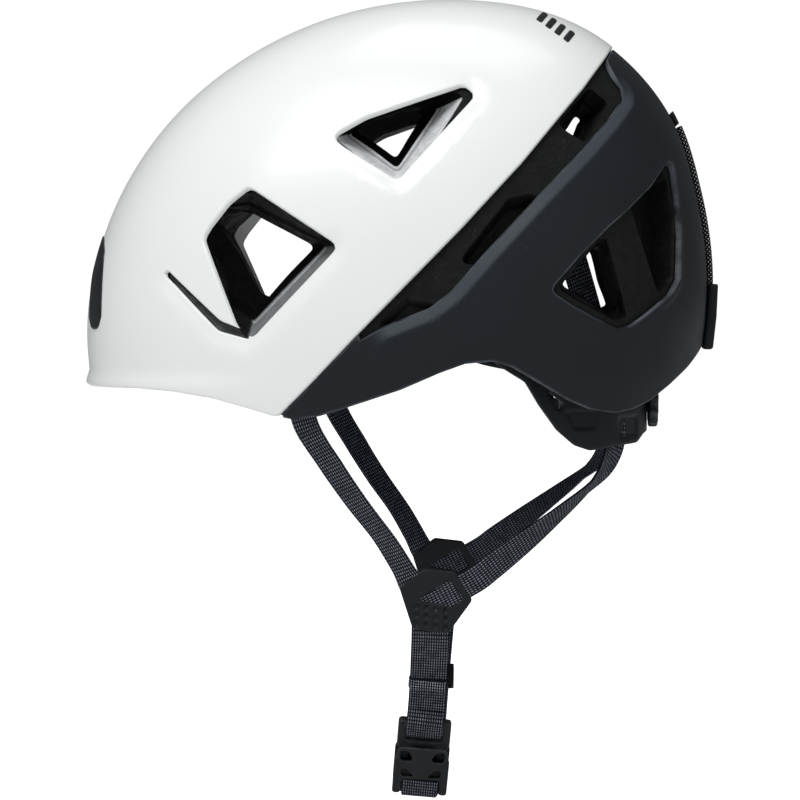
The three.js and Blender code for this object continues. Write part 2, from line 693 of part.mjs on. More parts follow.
const leftRack = toGeometry(toSolid(rackLeft()));
const rightRack = leftRack.clone();
rightRack.translate(0, 0, -DIAL_Z);
rightRack.rotateX(Math.PI);
rightRack.translate(0, 0, DIAL_Z);
place('headband_rack_left', leftRack, plastic);
place('headband_rack_right', rightRack, plastic);

function placePair(name, solidOrGeometry, material) {
  const left = solidOrGeometry.isBufferGeometry
    ? toGeometry(toSolid(solidOrGeometry))
    : toGeometry(solidOrGeometry);
  place(`${name}_left`, left, material);
  place(`${name}_right`, mirrored(left), material);
}

placePair('headband_pin', headbandPin(), plastic);
placePair('cradle_pad', cradlePad(), textile);

const leftArm = toGeometry(headbandArm());
place('headband_arm_left', leftArm, plastic);
place('headband_arm_right', mirrored(leftArm), plastic);

// ---- Straps and dividers ------------------------------------------------------------------

const FRONT_STRAP = [
  [[-38, -92, -133], [1, 0, -0.3]],
  [[-36, -91.5, -149], [1, 0, -0.45]],
  [[-25.5, -86.5, -167], [1, 0, -0.55]],
  [[-15, -81.5, -183], [1, 0, -0.65]],
  [[-4, -77, -198], [1, 0, -0.75]],
  [[6.5, -72.6, -212.2], [1, 0, -0.75]],
];
const REAR_STRAP = [
  [[78, -59, -77.6], [1, 0.5, 0.2]],
  [[82, -57, -98], [1, 0.5, 0.2]],
  [[87, -53, -118], [1, 0.6, 0.2]],
  [[91, -49, -140], [1, 0.8, 0.1]],
  [[93, -48, -156], [1, 0.8, 0]],
  [[88, -49, -167], [0.6, 1, 0.3]],
  [[80, -52.5, -180], [0, 1, 0]],
  [[69, -58.5, -191.5], [-0.3, 1, -0.5]],
  [[55, -64, -202.5], [0.4, 0.6, -0.7]],
  [[43, -68.5, -211.5], [0.6, 0.1, -0.8]],
  [[33.5, -71.5, -218.3], [0.6, 0, -0.8]],
];

const DIVIDER = [
  [3, -221], [4, -219.5], [13.5, -212], [27, -213.5], [34.5, -225.5], [24, -240], [8.5, -238],
];
const DIVIDER_WINDOW = [[24.5, -217], [30.5, -225], [25.5, -228.5], [11, -225.5]];

function strapDivider() {
  const half = DIVIDER_THICKNESS / 2;
  return sideSolid(DIVIDER, -DIVIDER_Y - half, -DIVIDER_Y + half)
    .subtract(sideSolid(DIVIDER_WINDOW, -DIVIDER_Y - 5, -DIVIDER_Y + 5));
}

const ANCHOR_HALF_THICKNESS = 1.8;

// A tab with a slot across its lower half for the strap.
function strapAnchor({ x, y, z }) {
  const slotHalfWidth = LEG_WEBBING / 2 + 0.2;
  const tab = box(x - 7, x + 7, y - ANCHOR_HALF_THICKNESS, y + ANCHOR_HALF_THICKNESS, z - 7, z + 6);
  const slot = box(x - slotHalfWidth, x + slotHalfWidth, y - 5, y + 5, z - 4.5, z - 2.3);
  return toSolid(tab).subtract(toSolid(slot));
}

placePair('front_strap', ribbon(smoothed(FRONT_STRAP), LEG_WEBBING, WEBBING_THICKNESS), webbing);
placePair('rear_strap', ribbon(smoothed(REAR_STRAP), LEG_WEBBING, WEBBING_THICKNESS), webbing);
placePair('strap_divider', strapDivider(), plastic);
placePair('front_anchor', strapAnchor(FRONT_ANCHOR), plastic);
placePair('rear_anchor', strapAnchor(REAR_ANCHOR), plastic);

const CHIN_STRAP_LEFT = [
  [[16, -71.5, -240.6], [1, 0, 0]],
  [[15.5, -64, -249.5], [1, 0, 0]],
  [[14.5, -52.5, -264], [1, 0, 0]],
  [[13.2, -42.5, -278.2], [1, 0, -0.05]],
  [[12.7, -40.2, -281.6], [1, 0, -0.08]],
];
const CHIN_STRAP_RIGHT = [
  [[9.4, -17.2, -317.7], [1, 0, -0.08]],
  [[9.4, -13.5, -320.6], [1, 0, -0.06]],
  [[9.8, -5, -321], [1, 0, 0]],
  [[10.5, 8, -316.5], [1, 0, 0]],
  [[11.5, 22, -305.5], [1, 0, 0]],
  [[13.5, 45, -275], [1, 0, 0]],
  [[15.6, 66, -247.2], [1, 0, 0]],
  [[16, 71.3, -240.6], [1, 0, 0]],
];

function chinStrap(stations, thickness) {
  return toGeometry(toSolid(ribbon(stations, CHIN_WEBBING, thickness)));
}

place('chin_strap_left', chinStrap(CHIN_STRAP_LEFT, DOUBLED_THICKNESS), webbing);
place('chin_strap_right', chinStrap(CHIN_STRAP_RIGHT, SINGLE_THICKNESS), webbing);

// The keeper is a loop round the wearer's right chin strap, square to its straight run. In its
// own frame x is across the webbing and z is along it.
const KEEPER_LOOP = [-10, 10, -2.6, 2.6, -5.5, 5.5];
const KEEPER_HOLE = [-8.6, 8.6, -1.4, 1.4, -8, 8];
const [KEEPER_BELOW, KEEPER_ABOVE] = [CHIN_STRAP_RIGHT[5][0], CHIN_STRAP_RIGHT[6][0]];

const keeperLoop = toSolid(box(...KEEPER_LOOP)).subtract(toSolid(box(...KEEPER_HOLE)));
const keeper = place('strap_keeper', toGeometry(keeperLoop), plastic);
keeper.position.set(...KEEPER_BELOW);
keeper.rotation.x = -Math.atan2(
  KEEPER_ABOVE[1] - KEEPER_BELOW[1], KEEPER_ABOVE[2] - KEEPER_BELOW[2],
);

// ---- Chin buckle --------------------------------------------------------------------------

const buckle = new THREE.Group();
buckle.position.set(...BUCKLE_PLACE);
buckle.rotation.set(THREE.MathUtils.degToRad(BUCKLE_LEAN), THREE.MathUtils.degToRad(BUCKLE_TURN), 0);
helmet.add(buckle);

// Boxes in the buckle's own frame, as low and high x, y and z. The latch is the one on its +x side.
const MALE_FRAME = [-11.8, 11.8, -2.2, 2.2, 5.4, 22.2];
const MALE_WINDOW = [-8.6, 8.6, -5, 5, 11, 18.8];
const MALE_TONGUE = [-3, 3, -2, 2, -11, 6];
const LATCH_ARM = [6.4, 8.6, -2, 2, -10.5, 5];
const LATCH_HEAD = [8, 11.6, -2.2, 2.2, -3.6, 3.4];
const FEMALE_BODY = [-12.2, 12.2, -4, 4, -17.6, 0.4];
const FEMALE_POCKET = [-9.4, 9.4, -2.6, 2.6, -12.5, 5];
const FEMALE_NOTCHES = [-14, 14, -2.7, 2.7, -4.4, 5];
const FEMALE_SLOT = [-8.6, 8.6, -1.2, 1.2, -20, -10];

function boxSolid(corners) {
  return toSolid(box(...corners));
}

function buckleMale() {
  return boxSolid(MALE_FRAME).subtract(boxSolid(MALE_WINDOW)).add(boxSolid(MALE_TONGUE));
}

function buckleLatch() {
  return boxSolid(LATCH_ARM).add(boxSolid(LATCH_HEAD));
}

function buckleFemale() {
  return boxSolid(FEMALE_BODY).subtract(boxSolid(FEMALE_POCKET))
    .subtract(boxSolid(FEMALE_NOTCHES)).subtract(boxSolid(FEMALE_SLOT));
}

const latchRight = toGeometry(buckleLatch());
const latchLeft = latchRight.clone();
latchLeft.rotateZ(Math.PI);
place('buckle_male', toGeometry(buckleMale()), plastic, buckle);
place('buckle_female', toGeometry(buckleFemale()), plastic, buckle);
place('buckle_latch_front', latchLeft, plastic, buckle);
place('buckle_latch_rear', latchRight, plastic, buckle);

// ---- Rear bungee for a headlamp band ------------------------------------------------------

// The cord follows the shell down the middle of the back, between two directions from the
// dome centre, in degrees above straight back.
const BUNGEE_TOP = 41;
const BUNGEE_BOTTOM = 12.8;
const BUNGEE_RADIUS = 1.5;
const BUNGEE_STEPS = 14;
const HOOK_END = -0.6;
const HOOK_STAND_OFF = 5.4;
const HOOK_HALF_WIDTH = 6;
const ANCHOR_TOP = 44.2;
const ANCHOR_BOTTOM = 41.9;
const ANCHOR_STAND_OFF = 4.4;
const ANCHOR_HALF_WIDTH = 5;

function behindShell(angle, standOff) {
  const turn = THREE.MathUtils.degToRad(angle);
  const reach = sideRadius(angle) - REAR_SHELL_INSET + standOff;
  return [DOME_CENTRE.x + reach * Math.cos(turn), DOME_CENTRE.z + reach * Math.sin(turn)];
}

function bungeeCord() {
  const points = [];
  for (let step = 0; step <= BUNGEE_STEPS; step += 1) {
    const angle = BUNGEE_TOP + ((BUNGEE_BOTTOM - BUNGEE_TOP) * step) / BUNGEE_STEPS;
    const [x, z] = behindShell(angle, BUNGEE_RADIUS + 2 * FIT_GAP);
    points.push(new THREE.Vector3(x, 0, z));
  }
  const section = new THREE.Shape();
  section.absarc(0, 0, BUNGEE_RADIUS, 0, 2 * Math.PI);
  const route = new THREE.CatmullRomCurve3(points);
  return new THREE.ExtrudeGeometry(section, {
    steps: BUNGEE_STEPS, extrudePath: route, curveSegments: 4, bevelEnabled: false,
  });
}

// A side outline that hugs the back of the shell, between two directions and two stand-offs.
function hugging(top, bottom, near, far) {
  const middle = (top + bottom) / 2;
  return [
    behindShell(top, near), behindShell(middle, near), behindShell(bottom, near),
    behindShell(bottom, far), behindShell(middle, far), behindShell(top, far),
  ];
}

function bungeeHook() {
  const outline = hugging(BUNGEE_BOTTOM - 0.4, HOOK_END, 2 * FIT_GAP, HOOK_STAND_OFF);
  return sideSolid(outline, -HOOK_HALF_WIDTH, HOOK_HALF_WIDTH);
}

function bungeeAnchor() {
  const outline = hugging(ANCHOR_TOP, ANCHOR_BOTTOM, 1.5 * FIT_GAP, ANCHOR_STAND_OFF);
  return sideSolid(outline, -ANCHOR_HALF_WIDTH, ANCHOR_HALF_WIDTH);
}

place('bungee_cord', toGeometry(toSolid(bungeeCord())), webbing);
place('bungee_hook', toGeometry(bungeeHook()), plastic);
place('bungee_anchor', toGeometry(bungeeAnchor()), plastic);

export default helmet;
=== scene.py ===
# Climbing helmet: the visual model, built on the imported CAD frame.
# Lengths below are in millimetres unless a name says otherwise; meshes are made in metres.
import math
import bmesh
import bpy
import numpy as np
from mathutils import Matrix, Vector, geometry


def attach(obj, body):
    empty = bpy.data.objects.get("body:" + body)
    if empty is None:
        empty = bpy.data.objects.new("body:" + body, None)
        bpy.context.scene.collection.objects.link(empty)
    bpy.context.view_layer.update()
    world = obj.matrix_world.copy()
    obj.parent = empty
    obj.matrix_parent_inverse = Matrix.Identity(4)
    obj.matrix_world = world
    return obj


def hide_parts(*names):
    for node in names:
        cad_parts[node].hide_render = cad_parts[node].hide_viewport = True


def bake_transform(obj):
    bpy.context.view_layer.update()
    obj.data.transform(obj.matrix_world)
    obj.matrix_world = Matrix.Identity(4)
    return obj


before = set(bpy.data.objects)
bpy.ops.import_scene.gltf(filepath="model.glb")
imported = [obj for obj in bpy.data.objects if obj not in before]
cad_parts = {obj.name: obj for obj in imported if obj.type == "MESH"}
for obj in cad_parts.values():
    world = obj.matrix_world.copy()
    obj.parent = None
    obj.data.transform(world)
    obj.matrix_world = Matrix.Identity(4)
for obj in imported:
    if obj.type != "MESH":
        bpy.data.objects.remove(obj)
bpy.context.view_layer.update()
MM = 0.001


# ---- Camera, floor and light, in metres ----------------------------------------------------

CAMERA_TARGET = Vector((0, 0, -0.1426))
CAMERA_DISTANCE = 1.3
CAMERA_YAW = math.radians(2.5)
CAMERA_ELEVATION = math.radians(2.5)
CAMERA_LENS = 128.57
FLOOR_Z = -0.336
FLOOR_RADIUS = 3
FLOOR_SIDES = 96
FRONT_LIGHT = 0.62
BACK_LIGHT = 0.14
BACKDROP_LIGHT = 1.05
# Each lamp's name, place, size and power.
LAMPS = [
    ("key", (-0.5, -0.9, 1.3), (1.0, 0.8), 16), ("fill", (1.2, -1.1, 0.2), (0.8, 1.2), 0.5),
    ("top", (0.1, 0.2, 1.6), (1.2, 0.8), 5),
]
LAMP_AIM = Vector((0, 0, -0.1))


def add_camera():
    data = bpy.data.cameras.new("camera")
    data.lens = CAMERA_LENS
    data.sensor_width = 36
    camera = bpy.data.objects.new("camera", data)
    back = Vector((
        math.sin(CAMERA_YAW) * math.cos(CAMERA_ELEVATION),
        -math.cos(CAMERA_YAW) * math.cos(CAMERA_ELEVATION),
        math.sin(CAMERA_ELEVATION),
    ))
    camera.location = CAMERA_TARGET + back * CAMERA_DISTANCE
    camera.rotation_euler = (-back).to_track_quat("-Z", "Y").to_euler()
    bpy.context.collection.objects.link(camera)
    bpy.context.scene.camera = camera


def add_light(name, place, size, power):
    data = bpy.data.lights.new(name, "AREA")
    data.shape = "RECTANGLE"
    data.size, data.size_y = size
    data.energy = power
    lamp = bpy.data.objects.new(name, data)
    lamp.location = place
    lamp.rotation_euler = (LAMP_AIM - Vector(place)).to_track_quat("-Z", "Y").to_euler()
    bpy.context.collection.objects.link(lamp)


def add_studio():
    """Soft light, and a white backdrop that is brighter to the camera than to the helmet."""
    world = bpy.data.worlds.new("studio")
    world.use_nodes = True
    nodes, links = world.node_tree.nodes, world.node_tree.links
    seen = nodes.new("ShaderNodeLightPath").outputs["Is Camera Ray"]
    axes = nodes.new("ShaderNodeSeparateXYZ")
    links.new(nodes.new("ShaderNodeTexCoord").outputs["Generated"], axes.inputs[0])
    glow = nodes.new("ShaderNodeMapRange")
    for name, value in (("From Min", -0.5), ("From Max", 0.5), ("To Min", FRONT_LIGHT),
                        ("To Max", BACK_LIGHT)):
        glow.inputs[name].default_value = value
    links.new(axes.outputs["Y"], glow.inputs["Value"])
    strength = nodes.new("ShaderNodeMapRange")
    strength.inputs["To Max"].default_value = BACKDROP_LIGHT
    links.new(seen, strength.inputs["Value"])
    links.new(glow.outputs[0], strength.inputs["To Min"])
    links.new(strength.outputs[0], nodes["Background"].inputs["Strength"])
    nodes["Background"].inputs["Color"].default_value = (1, 1, 1, 1)
    bpy.context.scene.world = world
    bpy.context.scene.view_settings.view_transform = "Standard"
    for lamp in LAMPS:
        add_light(*lamp)


def add_floor():
    rim = [(FLOOR_RADIUS * math.cos(a), FLOOR_RADIUS * math.sin(a), 0) for a in turns(FLOOR_SIDES)]
    mesh = bpy.data.meshes.new("floor")
    mesh.from_pydata(rim, [], [tuple(range(FLOOR_SIDES))])
    floor = bpy.data.objects.new("floor", mesh)
    floor.location.z = FLOOR_Z
    bpy.context.collection.objects.link(floor)
    floor.data.materials.append(floor_material())


# ---- Dome surface, as in the CAD model -----------------------------------------------------

DOME_CENTRE = np.array([14.0, 0.0, -118.0])
DOME_HALF_WIDTH = 106.0
DOME_ROUNDNESS = 2.2
SIDE_RADII = np.array([
    [-120, 104], [-90, 102], [-60, 108], [-30, 117], [0, 123], [15, 129.5], [30, 138.5], [45, 151],
    [60, 158], [70, 159], [85, 156.5], [100, 155], [120, 154.5], [140, 155.5], [160, 156],
    [180, 155.5], [200, 150], [225, 135], [240, 104],
], float)
SHELL_THICKNESS = 2.0
REAR_SHELL_INSET = 0.8
FOAM_INSET = 3.2
FOAM_ABOVE_RIM = 2.0
FIT_GAP = 0.3
MIRROR = [1, -1, 1]


def unit(vectors):
    return vectors / np.linalg.norm(vectors, axis=-1, keepdims=True)


def between(ends, share):
    return ends[0] + (ends[1] - ends[0]) * share


def smoothstep(x, low, high):
    t = np.clip((np.asarray(x, float) - low) / (high - low), 0, 1)
    return t * t * (3 - 2 * t)


def side_radius(angle):
    """Distance of the outer surface in the side view, at angles in degrees above straight back."""
    a, r = SIDE_RADII[:, 0], SIDE_RADII[:, 1]
    slopes = np.zeros(len(a))
    slopes[1:-1] = (r[2:] - r[:-2]) / (a[2:] - a[:-2])
    wrapped = np.mod(np.asarray(angle, float) + 120, 360) - 120
    i = np.clip(np.searchsorted(a, wrapped, side="right") - 1, 0, len(a) - 2)
    h = a[i + 1] - a[i]
    t = (wrapped - a[i]) / h
    return ((2 * t**3 - 3 * t**2 + 1) * r[i] + (t**3 - 2 * t**2 + t) * h * slopes[i]
            + (3 * t**2 - 2 * t**3) * r[i + 1] + (t**3 - t**2) * h * slopes[i + 1])


def dome_radius(direction):
    side = np.hypot(direction[..., 0], direction[..., 2])
    angle = np.degrees(np.arctan2(direction[..., 2], direction[..., 0]))
    bulk = ((side / side_radius(angle)) ** DOME_ROUNDNESS
            + (np.abs(direction[..., 1]) / DOME_HALF_WIDTH) ** DOME_ROUNDNESS)
    return bulk ** (-1 / DOME_ROUNDNESS)


def brim_flare(point):
    down = smoothstep(-point[..., 2], 127, 134)
    return 2.5 * down * smoothstep(-point[..., 0], 50, 90)


def flush(point):
    return 0 * point[..., 0]


def outer_offset(inset):
    return lambda point: brim_flare(point) - inset


def cavity_offset(point):
    return -(18 + 9 * smoothstep(point[..., 2], -125, -70))


def spot(direction, offset):
    """The point of an offset surface in each direction from the dome's centre."""
    r = dome_radius(direction)
    base = DOME_CENTRE + r[..., None] * direction
    return DOME_CENTRE + (r + offset(base))[..., None] * direction


def directions(points):
    return unit(points - DOME_CENTRE)


def on_base(points):
    """The points moved onto the outer surface itself."""
    return spot(directions(points), flush)


def level(points, offset):
    """How far each point stands outside an offset surface."""
    surface = spot(directions(points), offset)
    return (np.linalg.norm(points - DOME_CENTRE, axis=-1)
            - np.linalg.norm(surface - DOME_CENTRE, axis=-1))


def bisect(value, low, high, steps=36):
    """Where value(t) changes sign, for arrays low and high with value(low) < 0 < value(high)."""
    low = np.array(low, float)
    high = np.array(high, float)
    for _ in range(steps):
        middle = (low + high) / 2
        below = value(middle) < 0
        low = np.where(below, middle, low)
        high = np.where(below, high, middle)
    return (low + high) / 2


def lift(flat, offset):
    """Side-view points [x, z] put on the wearer's left of an offset surface."""
    flat = np.asarray(flat, float)

    def at(y):
        return np.stack([flat[:, 0], -y, flat[:, 1]], axis=1)

    return at(bisect(lambda y: level(at(y), offset), np.zeros(len(flat)), np.full(len(flat), 125.0)))


# The dome is laid flat around its crown, which keeps every loop and its holes in one sheet.
CHART_SCALE = 155.0


def to_chart(points):
    d = directions(points)
    tilt = np.arctan2(np.hypot(d[..., 0], d[..., 1]), d[..., 2])
    turn = np.arctan2(d[..., 1], d[..., 0])
    return CHART_SCALE * tilt[..., None] * np.stack([np.cos(turn), np.sin(turn)], axis=-1)


def toward(tilt, turn):
    """The direction at a tilt from straight up and a turn round it."""
    return np.stack([np.sin(tilt) * np.cos(turn), np.sin(tilt) * np.sin(turn), np.cos(tilt)], axis=-1)


def from_chart(flat):
    """Directions from the dome's centre."""
    tilt = np.hypot(flat[..., 0], flat[..., 1]) / CHART_SCALE
    return toward(tilt, np.arctan2(flat[..., 1], flat[..., 0]))


# ---- Curves --------------------------------------------------------------------------------

CORNER_POINTS = 7
OUTLINE_CORNER = 2.5
ENDS_LENGTH = 12.0


def turns(count):
    return np.linspace(0, 2 * math.pi, count + 1)[:-1]


def circle(radius, count=24):
    return np.stack([np.cos(turns(count)), np.sin(turns(count))], axis=1) * radius


def run_along(points):
    """The distance from the first point to each point of a path."""
    return np.concatenate([[0], np.cumsum(np.linalg.norm(np.diff(points, axis=0), axis=1))])


def along_loop(loop, reach=1):
    """At each point of a closed loop, the step between its neighbours."""
    return np.roll(loop, -reach, axis=0) - np.roll(loop, reach, axis=0)


def averaged(values, reach):
    """Each value round a loop, averaged with its neighbours."""
    total = values
    for k in range(1, reach + 1):
        total = total + np.roll(values, k) + np.roll(values, -k)
    return total / (2 * reach + 1)


def rounded(outline, radius, closed=True):
    """The outline with each corner turned into a short curve."""
    pts = [np.array(p, float) for p in outline]
    out = []
    for i, p in enumerate(pts):
        if not closed and i in (0, len(pts) - 1):
            out.append(p)
            continue
        to_a, to_b = pts[i - 1] - p, pts[(i + 1) % len(pts)] - p
        la, lb = np.linalg.norm(to_a), np.linalg.norm(to_b)
        half = 0.5 * math.acos(np.clip(to_a @ to_b / (la * lb), -1, 1))
        cut = min(radius / max(math.tan(half), 1e-3), 0.46 * la, 0.46 * lb)
        start, end = p + to_a / la * cut, p + to_b / lb * cut
        for t in np.linspace(0, 1, CORNER_POINTS):
            out.append((1 - t) ** 2 * start + 2 * t * (1 - t) * p + t * t * end)
    return np.array(out)


def resample(points, step, closed=True):
    pts = np.vstack([points, points[:1]]) if closed else np.asarray(points)
    run = run_along(pts)
    keep = np.concatenate([[True], np.diff(run) > 1e-9])
    pts, run = pts[keep], run[keep]
    at = np.linspace(0, run[-1], max(3, int(round(run[-1] / step))) + 1)
    out = np.stack([np.interp(at, run, pts[:, k]) for k in range(pts.shape[1])], axis=1)
    return out[:-1] if closed else out


def over_the_top(outline):
    """A loop round the dome, from an open side-view outline whose two ends lie past the silhouette.

    The points crowd together toward the middle plane, where the side view sees the dome edge-on.
    """
    flat = resample(rounded(outline, OUTLINE_CORNER, closed=False), 0.25, closed=False)
    beside = level(np.stack([flat[:, 0], 0 * flat[:, 0], flat[:, 1]], axis=1), flush)
    covered = np.where(beside < 0)[0]
    first, last = covered[0], covered[-1]

    def crossing(a, b):
        t = bisect(lambda s: level(np.array([[*between((a, b), s), 0]])[:, [0, 2, 1]], flush), 0.0, 1.0)
        return between((a, b), t)

    start = crossing(flat[first], flat[first - 1])
    end = crossing(flat[last], flat[last + 1])
    chain = np.vstack([start, flat[first:last + 1], end])
    run = run_along(chain)
    ease = np.linspace(0, 1, 160) ** 2.6 * ENDS_LENGTH
    straight = np.arange(ENDS_LENGTH, run[-1] - ENDS_LENGTH, 0.3)
    at = np.unique(np.concatenate([ease, straight, run[-1] - ease]))
    dense = np.stack([np.interp(at, run, chain[:, k]) for k in range(2)], axis=1)
    side = np.vstack([[start[0], 0, start[1]], lift(dense[1:-1], flush), [end[0], 0, end[1]]])
    return np.vstack([side, side[::-1][1:-1] * MIRROR])


def area(flat):
    x, y = flat[:, 0], flat[:, 1]
    return 0.5 * np.sum(x * np.roll(y, -1) - np.roll(x, -1) * y)


def inside(points, loop):
    """Which 2-D points lie inside a closed loop."""
    result = np.zeros(len(points), bool)
    ax, ay = loop[:, 0], loop[:, 1]
    bx, by = np.roll(ax, -1), np.roll(ay, -1)
    for start in range(0, len(points), 4000):
        p = points[start:start + 4000]
        crosses = (ay[None] > p[:, 1:2]) != (by[None] > p[:, 1:2])
        rise = np.where(by == ay, 1e-12, by - ay)
        x = ax[None] + (p[:, 1:2] - ay[None]) * ((bx - ax) / rise)[None]
        result[start:start + 4000] = (np.sum(crosses & (p[:, 0:1] < x), axis=1) % 2) == 1
    return result


def in_region(points, loops):
    """Which 2-D points lie inside the first loop and outside the others."""
    good = inside(points, loops[0])
    for loop in loops[1:]:
        good &= ~inside(points, loop)
    return good


def edge_distance(points, loops):
    """Distance to the nearest loop, the loop's number, and the place on it."""
    best = np.full(len(points), 1e9)
    which = np.zeros(len(points), int)
    index = np.zeros(len(points), int)
    for number, loop in enumerate(loops):
        ends = np.roll(loop, -1, axis=0)
        along = ends - loop
        size = np.maximum(np.sum(along * along, axis=1), 1e-12)
        for start in range(0, len(points), 1500):
            p = points[start:start + 1500]
            rel = p[:, None] - loop[None]
            t = np.clip(np.einsum("ijk,jk->ij", rel, along) / size, 0, 1)
            gap = np.linalg.norm(rel - t[..., None] * along[None], axis=2)
            k = gap.argmin(axis=1)
            d = gap[np.arange(len(p)), k]
            here = slice(start, start + len(p))
            better = d < best[here]
            best[here] = np.where(better, d, best[here])
            which[here] = np.where(better, number, which[here])
            index[here] = np.where(better, k, index[here])
    return best, which, index


def gap_to(points, loops):
    return edge_distance(points, loops)[0]


# ---- Meshes --------------------------------------------------------------------------------

# Rows of points this near an edge are joined into lines of their own.
EDGED_ROW = 1.3

def make_object(name, points, faces, material, smooth_angle, attributes=None, uv=None):
    """A smooth-shaded mesh object whose faces all look outward."""
    mesh = bpy.data.meshes.new(name)
    mesh.from_pydata((np.asarray(points) * MM).tolist(), [], [tuple(int(i) for i in f) for f in faces])
    mesh.validate()
    mesh.update()
    for key, values in (attributes or {}).items():
        layer = mesh.attributes.new(key, "FLOAT", "POINT")
        layer.data.foreach_set("value", np.asarray(values, np.float32))
    if uv is not None:
        layer = mesh.uv_layers.new(name="strap")
        loops = np.zeros(len(mesh.loops), int)
        mesh.loops.foreach_get("vertex_index", loops)
        layer.data.foreach_set("uv", np.asarray(uv, np.float32)[loops].ravel())
    for polygon in mesh.polygons:
        polygon.use_smooth = True
    mesh.set_sharp_from_angle(angle=math.radians(smooth_angle))
    mesh.materials.append(material)
    obj = bpy.data.objects.new(name, mesh)
    bpy.context.collection.objects.link(obj)
    work = bmesh.new()
    work.from_mesh(mesh)
    bmesh.ops.recalc_face_normals(work, faces=work.faces)
    work.to_mesh(mesh)
    work.free()
    return obj


def weld(points, faces, gap=0.01):
    """Joins points closer than gap and drops faces that lose a corner.

    Also returns which of the given points was kept for each.
    """
    keys = np.round(points / gap).astype(np.int64)
    _, first, where = np.unique(keys, axis=0, return_index=True, return_inverse=True)
    where = where.ravel()
    kept = []
    for face in faces:
        new = [int(where[i]) for i in face]
        if len(set(new)) == len(new):
            kept.append(new)
    return points[first], kept, first


def ring_edges(loops):
    """The edges of closed loops whose points follow each other in one list."""
    edges, start = [], 0
    for loop in loops:
        n = len(loop)
        edges += [(start + i, start + (i + 1) % n) for i in range(n)]
        start += n
    return edges


def grid_inside(loops, spacing):
    """Evenly spread 2-D points inside the first loop and outside the others."""
    low, high = loops[0].min(axis=0), loops[0].max(axis=0)
    grid = np.array([(u, v)
                     for j, v in enumerate(np.arange(low[1], high[1], spacing * 0.866))
                     for u in np.arange(low[0] + (j % 2) * spacing / 2, high[0], spacing)])
    return grid[in_region(grid, loops)]


def triangulate(points, edges, loops, nearest=1e-5):
    """Triangles between 2-D points that lie within the loops, with the given edges among theirs."""
    verts = [Vector(p) for p in points]
    flat, _, tris, _, _, _ = geometry.delaunay_2d_cdt(verts, edges, [], 0, nearest)
    flat = np.array([tuple(v) for v in flat])
    tris = np.array([t for t in tris if len(t) == 3])
    return flat, tris[in_region(flat[tris].mean(axis=1), loops)]


def sheet_mesh(outer, holes, rows, spacing):
    """Triangulates a region of the dome, in its chart, from 3-D loops round it and its holes.

    Extra rows of points follow every loop at the given distances, so edges can be rounded and
    bevelled. Returns chart points, triangles and the loops on the base surface.
    """
    loops = [on_base(loop if area(to_chart(loop)) > 0 else loop[::-1]) for loop in [outer, *holes]]
    charts = [to_chart(loop) for loop in loops]
    verts = [c for chart in charts for c in chart]
    edges = ring_edges(charts)
    for number, loop in enumerate(loops):
        across = across_of(loop, number > 0)
        for distance in rows:
            real = on_base(loop + across * distance)
            row = to_chart(real)
            ids = {}
            for i in np.where((gap_to(real, loops) > 0.8 * distance) & in_region(row, charts))[0]:
                ids[i] = len(verts)
                verts.append(row[i])
            if distance <= EDGED_ROW:
                n = len(loop)
                edges += [(ids[i], ids[(i + 1) % n]) for i in ids if (i + 1) % n in ids]
    grid = grid_inside(charts, spacing)
    gap = gap_to(spot(from_chart(grid), flush), loops)
    verts += list(grid[gap > max(rows) + 0.55 * spacing])
    flat, tris = triangulate(verts, edges, charts)
    a, b, c = flat[tris[:, 0]], flat[tris[:, 1]], flat[tris[:, 2]]
    turn = (b[:, 0] - a[:, 0]) * (c[:, 1] - a[:, 1]) - (b[:, 1] - a[:, 1]) * (c[:, 0] - a[:, 0])
    tris[turn < 0] = tris[turn < 0][:, ::-1]
    used = np.unique(tris)
    renumber = np.full(len(flat), -1)
    renumber[used] = np.arange(len(used))
    return flat[used], renumber[tris], loops


def border(tris):
    """Directed edges used by one triangle only."""
    seen = {}
    for t in tris:
        for a, b in ((t[0], t[1]), (t[1], t[2]), (t[2], t[0])):
            seen[(int(a), int(b))] = True
    return [(a, b) for a, b in seen if (b, a) not in seen]


def base_normal(points):
    """Outward normal of the base surface, by small steps across it."""
    d = directions(points)
    helper = np.where(np.abs(d[:, 2:3]) < 0.9, [[0, 0, 1.0]], [[1.0, 0, 0]])
    a = unit(np.cross(d, helper))
    b = np.cross(d, a)
    step = 1e-3

    def tangent(t):
        return spot(unit(d + step * t), flush) - spot(unit(d - step * t), flush)

    n = unit(np.cross(tangent(a), tangent(b)))
    return n * np.sign(np.sum(n * d, axis=1, keepdims=True))


def across_of(loop, is_hole):
    """At each point of a loop, the direction along the surface into the material."""
    across = unit(np.cross(base_normal(loop), along_loop(loop)))
    return -across if is_hole else across


def edge_drop(distance, radius):
    """How far a rounded edge lies below the surface, at a distance from the edge."""
    s = np.clip(distance, 0, radius)
    return radius - np.sqrt(np.maximum(radius**2 - (radius - s) ** 2, 0))


def two_sided(name, top, bottom, tris, material, attributes):
    """A closed thin form from matching points of its two faces and the top face's triangles."""
    n = len(top)
    faces = [tuple(t) for t in tris] + [tuple(t[::-1] + n) for t in tris]
    faces += [(b, a, a + n, b + n) for a, b in border(tris)]
    return make_object(name, np.vstack([top, bottom]), faces, material, 40, attributes)


def ring_faces(count, sides, closed=False):
    """Quads between rings of points that follow each other in one list."""
    faces = []
    for i in range(count if closed else count - 1):
        for k in range(sides):
            j, m = (k + 1) % sides, (i + 1) % count
            faces.append((i * sides + k, i * sides + j, m * sides + j, m * sides + k))
    return faces


def swept_faces(count, sides):
    """As ring_faces, with a face over each end."""
    last = (count - 1) * sides
    return ring_faces(count, sides) + [tuple(range(sides))[::-1], tuple(last + k for k in range(sides))]


